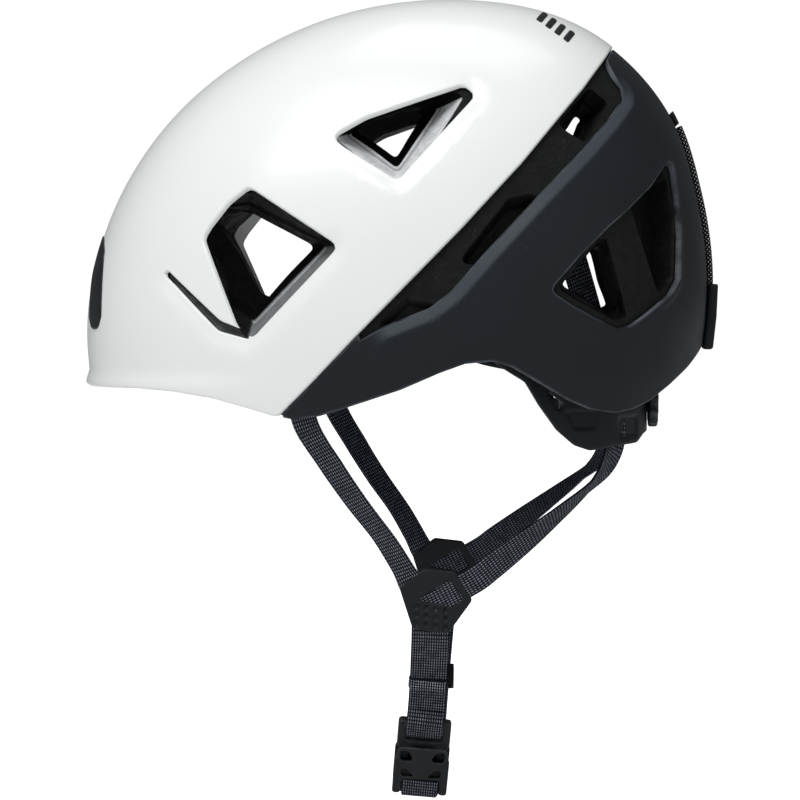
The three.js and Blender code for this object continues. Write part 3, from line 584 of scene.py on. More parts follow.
def settle(obj, body, slot, *nodes):
    """The piece rides a body and stands for these CAD nodes, which are hidden; slot is not used."""
    if nodes:
        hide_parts(*nodes)
    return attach(obj, body)


def settle_between(obj, node, start, end):
    """The piece stands for a CAD node, which is hidden, and has its place baked into its mesh; start and
    end are not used.
    """
    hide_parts(node)
    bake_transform(obj)


# ---- Materials -----------------------------------------------------------------------------


def linear(value):
    """A screen colour channel from 0 to 255 as scene light."""
    c = value / 255
    return c / 12.92 if c <= 0.04045 else ((c + 0.055) / 1.055) ** 2.4


def colour(r, g, b):
    return (linear(r), linear(g), linear(b), 1)


class Shader:
    """A short way to write a node material."""

    def __init__(self, name, rough=0.5, metal=0.0):
        self.material = bpy.data.materials.new(name)
        self.material.use_nodes = True
        self.nodes = self.material.node_tree.nodes
        self.links = self.material.node_tree.links
        self.surface = self.nodes["Principled BSDF"]
        self.surface.inputs["Roughness"].default_value = rough
        self.surface.inputs["Metallic"].default_value = metal
        self.place = self.add("ShaderNodeTexCoord").outputs["Object"]

    def add(self, kind, **settings):
        node = self.nodes.new(kind)
        for key, value in settings.items():
            setattr(node, key, value)
        return node

    def put(self, socket, value):
        if isinstance(value, bpy.types.NodeSocket):
            self.links.new(value, socket)
        else:
            socket.default_value = value

    def math(self, operation, a, b=0.0):
        node = self.add("ShaderNodeMath", operation=operation)
        self.put(node.inputs[0], a)
        self.put(node.inputs[1], b)
        return node.outputs[0]

    def times(self, a, b):
        return self.math("MULTIPLY", a, b)

    def noise(self, scale, detail=4.0, rough=0.55):
        node = self.add("ShaderNodeTexNoise")
        self.put(node.inputs["Vector"], self.place)
        self.put(node.inputs["Scale"], scale)
        self.put(node.inputs["Detail"], detail)
        self.put(node.inputs["Roughness"], rough)
        return node.outputs["Fac"]

    def cells(self, scale, feature, output="Distance"):
        node = self.add("ShaderNodeTexVoronoi", feature=feature)
        self.put(node.inputs["Vector"], self.place)
        self.put(node.inputs["Scale"], scale)
        return node.outputs[output]

    def span(self, value, low, high, to_low=0.0, to_high=1.0):
        node = self.add("ShaderNodeMapRange")
        for socket, number in zip(node.inputs, (value, low, high, to_low, to_high)):
            self.put(socket, number)
        return node.outputs[0]

    def mix(self, factor, a, b):
        node = self.add("ShaderNodeMix", data_type="RGBA")
        self.put(node.inputs["Factor"], factor)
        self.put(node.inputs[6], a)
        self.put(node.inputs[7], b)
        return node.outputs[2]

    def bump(self, height, depth_mm, strength=1.0):
        node = self.add("ShaderNodeBump")
        self.put(node.inputs["Height"], height)
        self.put(node.inputs["Distance"], depth_mm * MM)
        self.put(node.inputs["Strength"], strength)
        previous = self.surface.inputs["Normal"]
        if previous.is_linked:
            self.links.new(previous.links[0].from_socket, node.inputs["Normal"])
        self.links.new(node.outputs[0], previous)

    def attribute(self, name):
        return self.add("ShaderNodeAttribute", attribute_name=name).outputs["Fac"]

    def uv(self):
        split = self.add("ShaderNodeSeparateXYZ")
        self.links.new(self.add("ShaderNodeUVMap", uv_map="strap").outputs[0], split.inputs[0])
        return split.outputs[0], split.outputs[1]

    def set(self, name, value):
        self.put(self.surface.inputs[name], value)


def floor_material():
    s = Shader("floor", 0.9)
    s.set("Base Color", s.mix(s.noise(3), (0.9, 0.9, 0.9, 1), (0.93, 0.93, 0.93, 1)))
    s.set("Emission Color", (1, 1, 1, 1))
    s.set("Emission Strength", s.add("ShaderNodeLightPath").outputs["Is Camera Ray"])
    return s.material


def white_shell_material():
    s = Shader("white_shell", 0.3)
    cloud = s.noise(14, 3)
    tone = s.mix(cloud, colour(230, 233, 231), colour(234, 237, 235))
    edge = s.attribute("edge")
    scuffs = s.times(s.span(s.noise(420, 6, 0.7), 0.6, 0.8), s.span(edge, 0, 4, 0.35, 0.015))
    tone = s.mix(scuffs, tone, colour(176, 178, 176))
    s.set("Base Color", tone)
    polish = s.span(s.noise(60, 5), 0.3, 0.7, 0.28, 0.31)
    s.set("Roughness", s.math("ADD", polish, s.times(scuffs, 0.3)))
    s.set("Coat Weight", 0.25)
    s.set("Coat Roughness", 0.12)
    s.bump(s.noise(230, 2), 0.015, 0.5)
    s.bump(s.noise(2400, 2), 0.01, 0.4)
    return s.material


def black_shell_material():
    s = Shader("black_shell", 0.42)
    tone = s.mix(s.noise(20, 3), colour(20, 24, 29), colour(24, 29, 35))
    edge = s.attribute("edge")
    worn = s.times(s.span(edge, 0.0, 1.1, 1, 0), s.span(s.noise(90, 4), 0.35, 0.6))
    tone = s.mix(worn, tone, colour(84, 90, 96))
    scratches = s.span(s.noise(300, 8, 0.75), 0.66, 0.74)
    tone = s.mix(s.times(scratches, 0.35), tone, colour(110, 114, 118))
    # Painted highlight: the slot's bevel is painted lighter, as the light it catches.
    bevel = s.attribute("bevel")
    tone = s.mix(bevel, tone, colour(50, 57, 64))
    s.set("Base Color", tone)
    s.set("Roughness", s.span(s.noise(50, 5), 0.3, 0.7, 0.4, 0.55))
    s.set("Specular IOR Level", 0.2)
    s.bump(s.noise(1300, 3, 0.6), 0.03, 0.5)
    s.bump(s.noise(160, 2), 0.06, 0.4)
    return s.material


def foam_material():
    """Bead foam: dark and smooth, with paler beads and seams where the per-point paleness is high; that
    paleness is mostly painted light and shade.
    """
    s = Shader("bead_foam", 0.6)
    scale = 300
    seams = s.span(s.cells(scale, "DISTANCE_TO_EDGE"), 0.0, 0.1, 1, 0)
    split = s.add("ShaderNodeSeparateColor")
    s.put(split.inputs[0], s.cells(scale, "F1", "Color"))
    tone_and_light = s.attribute("tone_and_light")
    dark = s.mix(split.outputs[0], colour(5, 6, 7), colour(10, 11, 12))
    # Painted light: the pale colours stand in for lit foam where the paleness is high.
    light = s.mix(split.outputs[0], colour(208, 210, 212), colour(232, 234, 236))
    tone = s.mix(tone_and_light, dark, light)
    veins = s.times(seams, s.span(s.noise(160, 4), 0.42, 0.6))
    strength = s.span(tone_and_light, 0.02, 0.15, 0.0, 0.5)
    tone = s.mix(s.times(veins, strength), tone, colour(150, 154, 158))
    flecks = s.times(s.span(s.noise(1100, 4, 0.7), 0.6, 0.7), s.span(s.noise(70, 3), 0.4, 0.65))
    showing = s.span(tone_and_light, 0.0, 0.2, 0.06, 0.5)
    tone = s.mix(s.times(flecks, showing), tone, colour(196, 199, 203))
    s.set("Base Color", tone)
    s.set("Roughness", s.span(split.outputs[1], 0, 1, 0.42, 0.7))
    s.set("Specular IOR Level", s.span(tone_and_light, 0.0, 0.2, 0.06, 0.3))
    s.bump(s.cells(scale, "SMOOTH_F1"), 0.4, 0.6)
    s.bump(s.noise(1800, 3), 0.08, 0.5)
    return s.material


# ---- Outlines in the side view, [x, z], as in the CAD model --------------------------------

FRONT_RIM = [
    [-160, -133], [-142, -133.5], [-134, -135], [-109, -134.5], [-91, -135.5], [-75, -138],
    [-63, -141.5], [-48, -146],
]
REAR_RIM = [
    [-42, -147], [-30, -145.5], [-16, -141], [5, -134], [21, -127], [32, -123], [44, -122],
    [52, -124.5], [63, -131], [76, -139], [85, -143], [96, -145], [104, -143.5], [111, -140.5],
    [120, -134], [129, -126.5], [137, -118], [160, -118],
]
SHELL_JOIN = [
    [-33, -131], [-12, -109], [30, -66], [56, -37.5], [82, -5], [92, 9.5], [98, 20], [112, 46],
]
SLOT_EDGE = [
    [-14, -114], [-3, -107], [7, -103], [17, -99], [26, -92], [40, -76], [64, -50], [82, -31],
    [93, -18], [100, -8], [100, -3.5], [95, 3], [92.5, 9],
]
SIDE_VENT = [[-61, -48], [-22, -73], [-60, -113], [-66, -107], [-81, -70], [-78, -65], [-70, -55]]
SIDE_VENT_INNER = [[-63, -56], [-39, -74], [-57, -93], [-72, -92], [-86, -64], [-84, -60], [-76, -55]]
LAMP_SLIT = [[-99, -85.4], [-97.2, -83.4], [-72.6, -105.2], [-62, -109.2], [-60, -113.2],
             [-74.6, -109.4]]
UPPER_VENT = [[-26, -27], [-11, -18.5], [12, -10.5], [31, -4], [36, -8], [3, -45]]
UPPER_VENT_INNER = [[-15, -23], [-10, -19], [-3, -16], [6, -16.5], [5, -19.5], [-1, -26]]
REAR_WINDOW = [
    [68, -92], [81, -77], [93, -65], [101, -58], [112, -47], [121, -33], [123, -49], [124.5, -68],
    [124, -87], [120, -94], [110, -102], [103, -107], [97, -108.5], [86, -103], [77, -98],
]
SLOT_HOLE = [[70, -22], [86, -2], [97, -10], [82, -30]]
SLOT_HOLE_INNER = [[70.5, -22.5], [82, -8.5], [86.5, -14.5], [74, -27.5]]
SLOT_POCKET = [[29, -80], [51, -52], [61, -50], [67, -54], [42, -80]]
SLOT_LOW_POCKET = [[-6, -107], [7, -95], [20, -98], [17, -104], [2, -112]]
WINDOW_FRONT_HOLE = [[70, -91], [92, -67], [103, -106], [96, -107], [79, -97]]
WINDOW_FRONT_HOLE_INNER = [[71, -88], [85.6, -72.5], [94.2, -100], [91, -101], [79, -94]]
WINDOW_REAR_POCKET = [[104, -55], [120, -37], [124, -60], [123, -87], [117, -94]]
FRONT_ANCHOR_RECESS = [[-47, -116], [-29, -116], [-29, -141], [-47, -142]]


# How far apart the shells' points lie, and how far from every edge their extra rows run.
SHELL_EDGE_STEP = 2.3
SHELL_SPACING = 3.1
FRONT_ROWS = [0.12, 0.35, 0.7, 1.1, 2.4, 4.2, 6.2]
REAR_ROWS = [0.12, 0.35, 0.7, 1.1, 2.4, 4.0, 5.3, 6.0, 7.2]
SLOT_BEVEL = 5.7
BEVEL_DROP = 2.2
JOIN_GAP = 0.1


def both_sides(loop):
    return [loop, loop[::-1] * MIRROR]


def side_holes(outline, radius, step=2.0):
    return both_sides(lift(resample(rounded(outline, radius), step), flush))


def shell_piece(name, outline, holes, rows, relief, inset, material, slot):
    outer = resample(over_the_top(outline), SHELL_EDGE_STEP)
    flat, tris, loops = sheet_mesh(outer, holes, rows, SHELL_SPACING)
    out = from_chart(flat)
    distance, which, index = edge_distance(spot(out, flush), loops)
    height, bevel = relief(distance, which, index, loops)
    top = spot(out, outer_offset(inset)) + out * height[:, None]
    bottom = spot(out, outer_offset(inset + SHELL_THICKNESS))
    obj = two_sided(f"{name}_form", top, bottom, tris, material,
                    {"edge": np.tile(distance, 2), "bevel": np.concatenate([bevel, 0 * bevel])})
    return settle(obj, "root", slot, name)


def front_relief(distance, which, index, loops):
    """Rounded edges, and a soft hollow beside the lower and rear edges of the openings."""
    height = -edge_drop(distance, 0.9)
    for number, loop in enumerate(loops):
        if number == 0:
            continue
        across = across_of(loop, True)
        facing = across[:, 0] * 0.55 - across[:, 2] * 0.83
        weight = averaged(smoothstep(facing, -0.1, 0.5), 2)
        mine = which == number
        depth = 1.8 * (1 - smoothstep(distance[mine], 0.5, 6.8))
        height[mine] -= depth * weight[index[mine]]
    return height, 0 * height


def near_polyline(points, line, reach):
    """Which 3-D points lie near a side-view polyline."""
    dense = resample(np.array(line, float), 0.5, closed=False)
    gap = np.linalg.norm(points[:, None, [0, 2]] - dense[None], axis=2).min(axis=1)
    return gap < reach


def rear_relief(distance, which, index, loops):
    """A flat bevel along the slot, a lip behind the rear window and rounded edges.

    Also returns how far each point lies within the bevel, where the black shell's material paints a
    lighter band as a painted highlight.
    """
    height = -edge_drop(distance, 0.8)
    slot = averaged(averaged(near_polyline(loops[0], SLOT_EDGE[1:-2], 0.8).astype(float), 1), 1)
    mine = which == 0
    slope = BEVEL_DROP * np.clip(1 - distance[mine] / SLOT_BEVEL, 0, 1)
    height[mine] -= slope * slot[index[mine]]
    within = 1 - smoothstep(distance[mine], SLOT_BEVEL - 0.8, SLOT_BEVEL + 0.6)
    bevel = np.zeros(len(distance))
    bevel[mine] = slot[index[mine]] * within
    for number in range(1, len(loops)):
        behind = smoothstep(loops[number][:, 0], 108, 121)
        mine = which == number
        lip = 0.9 * smoothstep(distance[mine], 0, 0.9) * (1 - smoothstep(distance[mine], 1.6, 4.2))
        height[mine] += lip * behind[index[mine]]
    return height, bevel


def front_shell():
    holes = side_holes(SIDE_VENT, 3.2) + side_holes(LAMP_SLIT, 1.6, 1.6) + side_holes(UPPER_VENT, 3.0)
    return shell_piece("front_shell", FRONT_RIM + SHELL_JOIN, holes, FRONT_ROWS, front_relief, 0.0,
                       white_shell_material(), "shell_white")


def rear_shell():
    clear = [[x + JOIN_GAP, z - JOIN_GAP] for x, z in [FRONT_RIM[-1], *SHELL_JOIN]]
    outline = REAR_RIM[::-1] + clear[:3] + SLOT_EDGE + clear[-2:]
    return shell_piece("rear_shell", outline, side_holes(REAR_WINDOW, 2.6), REAR_ROWS, rear_relief,
                       REAR_SHELL_INSET, black_shell_material(), "shell_black")


# ---- Foam liner ----------------------------------------------------------------------------

RIM_STEPS = 400
DIAL_SPACE_SIDES = [20, 24]
DIAL_SPACE_TOP = -108.5
DIAL_SPACE_FRONT = 80
# The lower edge of the wall between the foam's two faces: share of the way in, and how far down.
RIM_ROUND = [(0, 0), (0.06, 0.7), (0.3, 0.9), (0.6, 0.9), (0.94, 0.7), (1.0, 0)]
# Blind recesses in the outside of the foam: outline, depth, corner radius and shade, which is painted
# light and shade: how pale the recess is drawn.
FOAM_POCKETS = [
    (LAMP_SLIT, 2.0, 1.5, 0.09), (SLOT_POCKET, 7.0, 3.0, 0.004), (SLOT_LOW_POCKET, 6.0, 2.5, 0.02),
    (WINDOW_REAR_POCKET, 9.0, 2.5, 0.0), (FRONT_ANCHOR_RECESS, 4.5, 1.0, 0.0),
]
POCKET_ROWS = [-1.6, -0.9, -0.2, 0.5]
FOAM_SPACING = 3.4
CAVITY_SPACING = 4.2
# How pale the foam is drawn, from 0 to 1: OUTSIDE_SHADE is the foam's own near-black tone, and
# CAVITY_SHADE paints the cavity darker as shade.
OUTSIDE_SHADE = 0.01
CAVITY_SHADE = 0.004
OPENING_SHADE = 0.012
BORE_CORNER = 3.0
LEDGE_WIDTH = 1.3
# Places down an opening's wall, as shares of its depth. The ledge lies just past LEDGE_SHARE.
WALL_SHARES = [0, 0.03, 0.2, 0.4, 0.54, 0.56, 0.58, 0.6, 0.62, 0.8, 0.9, 1.0]
# Painted light on the vents' walls changes at LIP_SHARE, along the lip, and ends at PALE_SHARE in the
# upper vent.
LIP_SHARE = 0.55
LEDGE_SHARE = 0.57
PALE_SHARE = 0.61


def rim_height(points):
    """The height of the foam's lower edge, raised at the back to clear the dial."""
    line = rounded([[x, z + FOAM_ABOVE_RIM] for x, z in FRONT_RIM + REAR_RIM], 3, closed=False)
    height = np.interp(points[:, 0], line[:, 0], line[:, 1])
    notch = smoothstep(-np.abs(points[:, 1]), -DIAL_SPACE_SIDES[1], -DIAL_SPACE_SIDES[0])
    notch = np.where(points[:, 0] > DIAL_SPACE_FRONT, notch, 0)
    return between((height, DIAL_SPACE_TOP), notch)


def rim_loop(offset):
    """The loop where an offset surface meets the lower edge of the foam, one point per bearing."""
    def at(tilt):
        return spot(toward(tilt, turns(RIM_STEPS)), offset)

    def below(tilt):
        p = at(tilt)
        return rim_height(p) - p[:, 2]

    tilt = bisect(below, np.full(RIM_STEPS, 1.0), np.full(RIM_STEPS, 2.3))
    return at(tilt)


def matched(outer, inner, radius, step):
    """Two outlines with the same corners, rounded and given the same number of points."""
    a, b = rounded(outer, radius), rounded(inner, radius * 0.8)
    rows = []
    for i in range(len(a)):
        j = (i + 1) % len(a)
        count = max(1, int(math.ceil(np.linalg.norm(a[j] - a[i]) / step)))
        for t in np.arange(count) / count:
            rows.append((between((a[i], a[j]), t), between((b[i], b[j]), t)))
    return np.array([r[0] for r in rows]), np.array([r[1] for r in rows])


def bore(outer, inner, y_outer, y_inner, foam, tone_and_light):
    """A tapered opening through the foam: rings down its wall, and their shades."""
    a, b = matched(outer, inner, BORE_CORNER, 2.2)
    n = len(a)
    start = np.stack([a[:, 0], np.full(n, float(y_outer)), a[:, 1]], axis=1)
    end = np.stack([b[:, 0], np.full(n, float(y_inner)), b[:, 1]], axis=1)

    def at(t):
        return between((start, end), t[:, None])

    t_out = bisect(lambda t: -level(at(t), foam), np.full(n, -0.7), np.full(n, 0.6))
    t_in = bisect(lambda t: -level(at(t), cavity_offset), np.full(n, 0.1), np.full(n, 2.2))
    centre = at(t_in).mean(axis=0)
    rings = []
    for share in WALL_SHARES:
        ring = at(between((t_out, t_in), share))
        if share > LEDGE_SHARE:
            inward = centre - ring
            inward[:, 1] = 0
            inward /= np.maximum(np.linalg.norm(inward, axis=1, keepdims=True), 1e-6)
            ring = ring + inward * LEDGE_WIDTH
        rings.append(ring)
    rings[-1] = spot(directions(rings[-1]), cavity_offset)
    rings[0] = spot(directions(rings[0]), foam)
    along = along_loop(a, 2)
    out = unit(np.stack([along[:, 1], -along[:, 0]], axis=1) * np.sign(area(a)))
    return rings, [tone_and_light(out, share) for share in WALL_SHARES]


def add_surface(flat, tris, offset, flip, points, faces, shades, relief=None, shade=None):
    out = from_chart(flat)
    place = spot(out, offset)
    base = spot(out, flush)
    if relief is not None:
        place = place + out * relief(base)[:, None]
    start = sum(len(p) for p in points)
    points.append(place)
    shades.append(shade(base) if shade is not None else np.full(len(place), CAVITY_SHADE))
    for t in tris:
        faces.append(tuple(int(i) + start for i in (t[::-1] if flip else t)))


def add_rings(rings, ring_shades, points, faces, shades):
    start = sum(len(p) for p in points)
    points.extend(rings)
    shades.extend(ring_shades)
    faces.extend(tuple(start + i for i in f) for f in ring_faces(len(rings), len(rings[0])))


def vent_shade(out, share):
    """Painted light: the lower rear wall, which faces up into the light, is painted as grey beads as far
    as the ledge, with a painted highlight along the lip; past the ledge, black.
    """
    low = smoothstep(-out[:, 1], -0.1, 0.6) * smoothstep(out[:, 0], -0.4, 0.3)
    if share > LEDGE_SHARE:
        return 0 * low
    return low * (0.6 if share > LIP_SHARE else 0.24) + OUTSIDE_SHADE


def upper_vent_shade(out, share):
    """Painted light: both lower walls, which face up into the light, are painted pale to just past the
    ledge, with a greyer, less lit line along its lip.
    """
    low = smoothstep(-out[:, 1], 0.0, 0.4)
    if share > PALE_SHARE:
        return 0 * low
    return low * (0.3 if LIP_SHARE < share < LEDGE_SHARE else 0.95)


def plain_shade(out, share):
    return np.full(len(out), OPENING_SHADE)


def foam_liner():
    foam = outer_offset(FOAM_INSET)
    bores = []
    for shape in (
        (SIDE_VENT, SIDE_VENT_INNER, -92, -60, foam, vent_shade),
        (UPPER_VENT, UPPER_VENT_INNER, -84, -45, foam, upper_vent_shade),
        (WINDOW_FRONT_HOLE, WINDOW_FRONT_HOLE_INNER, -90, -50, foam, plain_shade),
        (SLOT_HOLE, SLOT_HOLE_INNER, -70, -40, foam, plain_shade),
    ):
        rings, wall = bore(*shape)
        bores.append((rings, wall))
        bores.append(([ring * MIRROR for ring in rings], wall))
    outer_rim, inner_rim = rim_loop(foam), rim_loop(cavity_offset)
    pockets = [(lift(resample(rounded(o, r), 1.8), flush), d, s) for o, d, r, s in FOAM_POCKETS]
    pockets += [(p[::-1] * MIRROR, d, s) for p, d, s in pockets]
    charts = [to_chart(p) for p, _, _ in pockets]

    def relief(base):
        total = np.zeros(len(base))
        flat = to_chart(base)
        for (loop, depth, _), chart in zip(pockets, charts):
            distance = gap_to(base, [loop])
            signed = np.where(inside(flat, chart), distance, -distance)
            total -= depth * smoothstep(signed, -0.3, 1.5)
        return total

    # Painted light and shade: each pocket's inside is painted at the pocket's own paleness.
    def shade(base):
        total = np.full(len(base), OUTSIDE_SHADE)
        flat = to_chart(base)
        for (_, _, tone_and_light), chart in zip(pockets, charts):
            total[inside(flat, chart)] = tone_and_light
        return total

    points, faces, shades = [], [], []
    openings = [rings[0] for rings, _ in bores]
    flat, tris, _ = sheet_mesh(outer_rim, openings, [1.0], FOAM_SPACING)
    flat, tris = add_creases(flat, tris, [on_base(p) for p, _, _ in pockets], [outer_rim, *openings])
    add_surface(flat, tris, foam, False, points, faces, shades, relief, shade)
    flat, tris, _ = sheet_mesh(inner_rim, [rings[-1] for rings, _ in bores], [1.0], CAVITY_SPACING)
    add_surface(flat, tris, cavity_offset, True, points, faces, shades)
    for rings, wall in bores:
        add_rings(rings, wall, points, faces, shades)
    edge = [between((outer_rim, inner_rim), t) - [0, 0, drop] for t, drop in RIM_ROUND]
    add_rings(edge, [np.full(RIM_STEPS, OUTSIDE_SHADE)] * len(edge), points, faces, shades)
    points, faces, first = weld(np.vstack(points), faces)
    obj = make_object("foam_liner_form", points, faces, foam_material(), 42,
                      {"tone_and_light": np.concatenate(shades)[first]})
    return settle(obj, "root", "foam", "foam_liner")


def add_creases(flat, tris, loops, rims):
    """Triangulates again with extra rows of points beside each pocket's edge."""
    keep = gap_to(spot(from_chart(flat), flush), loops) > 2.0
    rim_edges = border(tris)
    keep[sorted({i for edge in rim_edges for i in edge})] = True
    extra = []
    for loop in loops:
        across = across_of(loop, area(to_chart(loop)) > 0)
        extra += [to_chart(on_base(loop + across * step)) for step in POCKET_ROWS]
    extra = np.vstack(extra)
    charts = [to_chart(rim) for rim in rims]
    gap = gap_to(spot(from_chart(extra), flush), [on_base(rim) for rim in rims])
    extra = extra[in_region(extra, charts) & (gap > 0.5)]
    renumber = np.full(len(flat), -1)
    renumber[keep] = np.arange(keep.sum())
    edges = [(int(renumber[a]), int(renumber[b])) for a, b in rim_edges]
    return triangulate(np.vstack([flat[keep], extra]), edges, charts)


# ---- Flat plates with rounded edges --------------------------------------------------------


def plate(name, outline, holes, thickness, radius, place, material, spacing, relief, corner, hole_corner):
    """A plate drawn in its own x and y, with the edges of both faces rounded.

    place puts an array of [x, y, height] points where they belong. relief(points) raises both faces.
    """
    loops = [rounded(outline, corner)] + [rounded(hole, hole_corner) for hole in holes]
    loops = [resample(loop, min(spacing, 1.0)) for loop in loops]
    loops = [loop if area(loop) > 0 else loop[::-1] for loop in loops]
    verts = [point for loop in loops for point in loop]
    for number, loop in enumerate(loops):
        along = along_loop(loop)
        across = unit(np.stack([-along[:, 1], along[:, 0]], axis=1)) * (-1 if number else 1)
        for distance in (0.15 * radius, 0.45 * radius, radius):
            row = loop + across * distance
            verts += list(row[(gap_to(row, loops) > 0.8 * distance) & in_region(row, loops)])
    grid = grid_inside(loops, spacing)
    verts += list(grid[gap_to(grid, loops) > radius + 0.5 * spacing])
    flat, tris = triangulate(verts, ring_edges(loops), loops, 1e-6)
    distance = gap_to(flat, loops)
    height = thickness / 2 - edge_drop(distance, radius) + (relief(flat) if relief else 0)
    top = place(np.column_stack([flat, height]))
    under = place(np.column_stack([flat, -height]))
    return two_sided(name, top, under, tris, material, {"edge": np.tile(distance, 2)})


def side_place(y):
    """Plates in the side view: x, z and height toward the wearer's left."""
    return lambda p: np.column_stack([p[:, 0], y - p[:, 2], p[:, 1]])


def rectangle(x0, x1, y0, y1, middle=(0, 0)):
    return [[x + middle[0], y + middle[1]] for x, y in ((x0, y0), (x1, y0), (x1, y1), (x0, y1))]


# ---- Webbing -------------------------------------------------------------------------------

WEAVE_STEP = 1.4
ROW_PITCH = 1.6
COLUMN_PITCH = 1.05
PATH_POINTS = 8
KNIT_PITCH = 1.3
BRAID_PITCH = 1.9


def smooth_path(stations):
    """A Catmull-Rom curve through the stations, with the across direction turning evenly."""
    spots = np.array([p for p, _ in stations], float)
    across = np.array([np.array(a, float) / np.linalg.norm(a) for _, a in stations])
    before = np.vstack([2 * spots[0] - spots[1], spots[:-1]])
    after = np.vstack([spots[1:], 2 * spots[-1] - spots[-2]])
    path, wide = [], []
    for i in range(len(spots) - 1):
        p0, p1, p2, p3 = before[i], spots[i], spots[i + 1], after[i + 1]
        for t in np.arange(PATH_POINTS) / PATH_POINTS:
            path.append(0.5 * (2 * p1 + (p2 - p0) * t + (2 * p0 - 5 * p1 + 4 * p2 - p3) * t**2
                               + (3 * p1 - p0 - 3 * p2 + p3) * t**3))
            wide.append(across[i] * (1 - t) + across[i + 1] * t)
    path.append(spots[-1])
    wide.append(across[-1])
    return np.array(path), np.array(wide)


def strap(name, stations, width, thickness, material, span=None, shift=0.0):
    """Flat webbing: a rounded section swept along a path, with its weave laid out by length.

    span keeps the part between two station numbers, and shift moves it off the path.
    """
    path, wide = smooth_path(stations)
    both = resample(np.hstack([path, wide * 0.01]), WEAVE_STEP, closed=False)
    if span:
        ends = [np.linalg.norm(both[:, :3] - np.array(stations[i][0], float), axis=1).argmin()
                for i in span]
        both = both[ends[0]:ends[1] + 1]
    path, wide = both[:, :3], both[:, 3:]
    along = unit(np.gradient(path, axis=0))
    wide = unit(wide - along * np.sum(wide * along, axis=1, keepdims=True))
    thick = np.cross(along, wide)
    length = run_along(path)
    half, r = width / 2, thickness / 2
    flat = np.linspace(-(half - r), half - r, 9)
    turn = np.linspace(-math.pi / 2, math.pi / 2, 5)[1:-1]
    section = [(w, -r) for w in flat]
    section += [(half - r + r * math.cos(a), r * math.sin(a)) for a in turn]
    section += [(w, r) for w in flat[::-1]]
    section += [(-(half - r) - r * math.cos(a), -r * math.sin(a)) for a in turn]
    points = [path[i] + wide[i] * w + thick[i] * (t + shift)
              for i in range(len(path)) for w, t in section]
    uv = [(w, length[i]) for i in range(len(path)) for w, _ in section]
    faces = swept_faces(len(path), len(section))
    return make_object(name, np.array(points), faces, material, 50, uv=np.array(uv))


def mirrored_stations(stations):
    return [[[p[0], -p[1], p[2]], [a[0], -a[1], a[2]]] for p, a in stations]


def webbing_material(name, dash_tone, strength):
    """Black webbing with ribs across it, and light dashes in columns where the warp shows."""
    s = Shader(name, 0.85)
    across, along = s.uv()
    row = s.math("FRACT", s.math("DIVIDE", along, ROW_PITCH))
    from_side = s.math("ADD", across, 100.0)
    column = s.math("FRACT", s.math("DIVIDE", from_side, COLUMN_PITCH))
    in_row = s.times(s.span(row, 0.08, 0.24), s.span(row, 0.84, 0.66))
    in_column = s.times(s.span(column, 0.28, 0.44), s.span(column, 0.74, 0.58))
    dash = s.times(in_row, in_column)
    rib = s.math("SINE", s.times(row, math.pi))
    fuzz = s.noise(1500, 3, 0.7)
    dark = s.mix(s.noise(80, 3), colour(12, 14, 21), colour(20, 23, 32))
    patchy = s.span(s.noise(330, 3), 0.35, 0.65, 0.45 * strength, strength)
    s.set("Base Color", s.mix(s.times(dash, patchy), dark, dash_tone))
    s.set("Roughness", s.span(fuzz, 0.3, 0.7, 0.75, 0.95))
    s.set("Specular IOR Level", 0.2)
    s.bump(rib, 0.22, 0.8)
    s.bump(dash, 0.15, 0.8)
    s.bump(fuzz, 0.05, 0.4)
    return s.material


def plastic_material(name, low, high, rough=0.45):
    s = Shader(name, rough)
    tone = s.mix(s.noise(60, 4), colour(*low), colour(*high))
    edge = s.attribute("edge")
    worn = s.times(s.span(edge, 0.0, 0.5, 1, 0), s.span(s.noise(220, 3), 0.4, 0.65))
    tone = s.mix(s.times(worn, 0.5), tone, colour(84, 88, 93))
    s.set("Base Color", tone)
    s.set("Roughness", s.span(s.noise(90, 5), 0.3, 0.7, rough - 0.07, rough + 0.1))
    s.set("Specular IOR Level", 0.17)
    s.bump(s.noise(1500, 3, 0.6), 0.03, 0.6)
    s.bump(s.noise(250, 2), 0.04, 0.4)
    return s.material


def cad_plastic_material(name, low, high):
    """As the other fit parts, for meshes that carry no edge distances."""
    s = Shader(name, 0.45)
    s.set("Base Color", s.mix(s.noise(60, 4), colour(*low), colour(*high)))
    s.set("Roughness", s.span(s.noise(90, 5), 0.3, 0.7, 0.38, 0.54))
    s.set("Specular IOR Level", 0.17)
    s.bump(s.noise(1500, 3, 0.6), 0.03, 0.6)
    return s.material


def steel_material():
    s = Shader("steel", 0.3, 1.0)
    s.set("Base Color", s.mix(s.noise(200, 4), (0.42, 0.43, 0.45, 1), (0.58, 0.59, 0.6, 1)))
    s.set("Roughness", s.span(s.noise(700, 3), 0.3, 0.7, 0.22, 0.42))
    s.bump(s.noise(1600, 2), 0.02, 0.4)
    return s.material


def textile_material():
    s = Shader("padding", 0.95)
    split = s.add("ShaderNodeSeparateXYZ")
    s.put(split.inputs[0], s.place)
    pitch = 2 * math.pi / (KNIT_PITCH * MM)
    waves = [s.math("SINE", s.times(split.outputs[k], pitch)) for k in range(3)]
    knit = s.math("ADD", s.times(waves[0], waves[1]), s.times(waves[2], 0.4))
    tone = s.mix(s.noise(120, 4), colour(30, 32, 37), colour(46, 49, 55))
    tone = s.mix(s.span(knit, 0.3, 1.0, 0, 0.4), tone, colour(78, 82, 90))
    s.set("Base Color", tone)
    s.set("Roughness", s.span(s.noise(900, 3), 0.3, 0.7, 0.88, 1.0))
    s.set("Sheen Weight", 0.25)
    s.bump(knit, 0.18, 0.7)
    return s.material


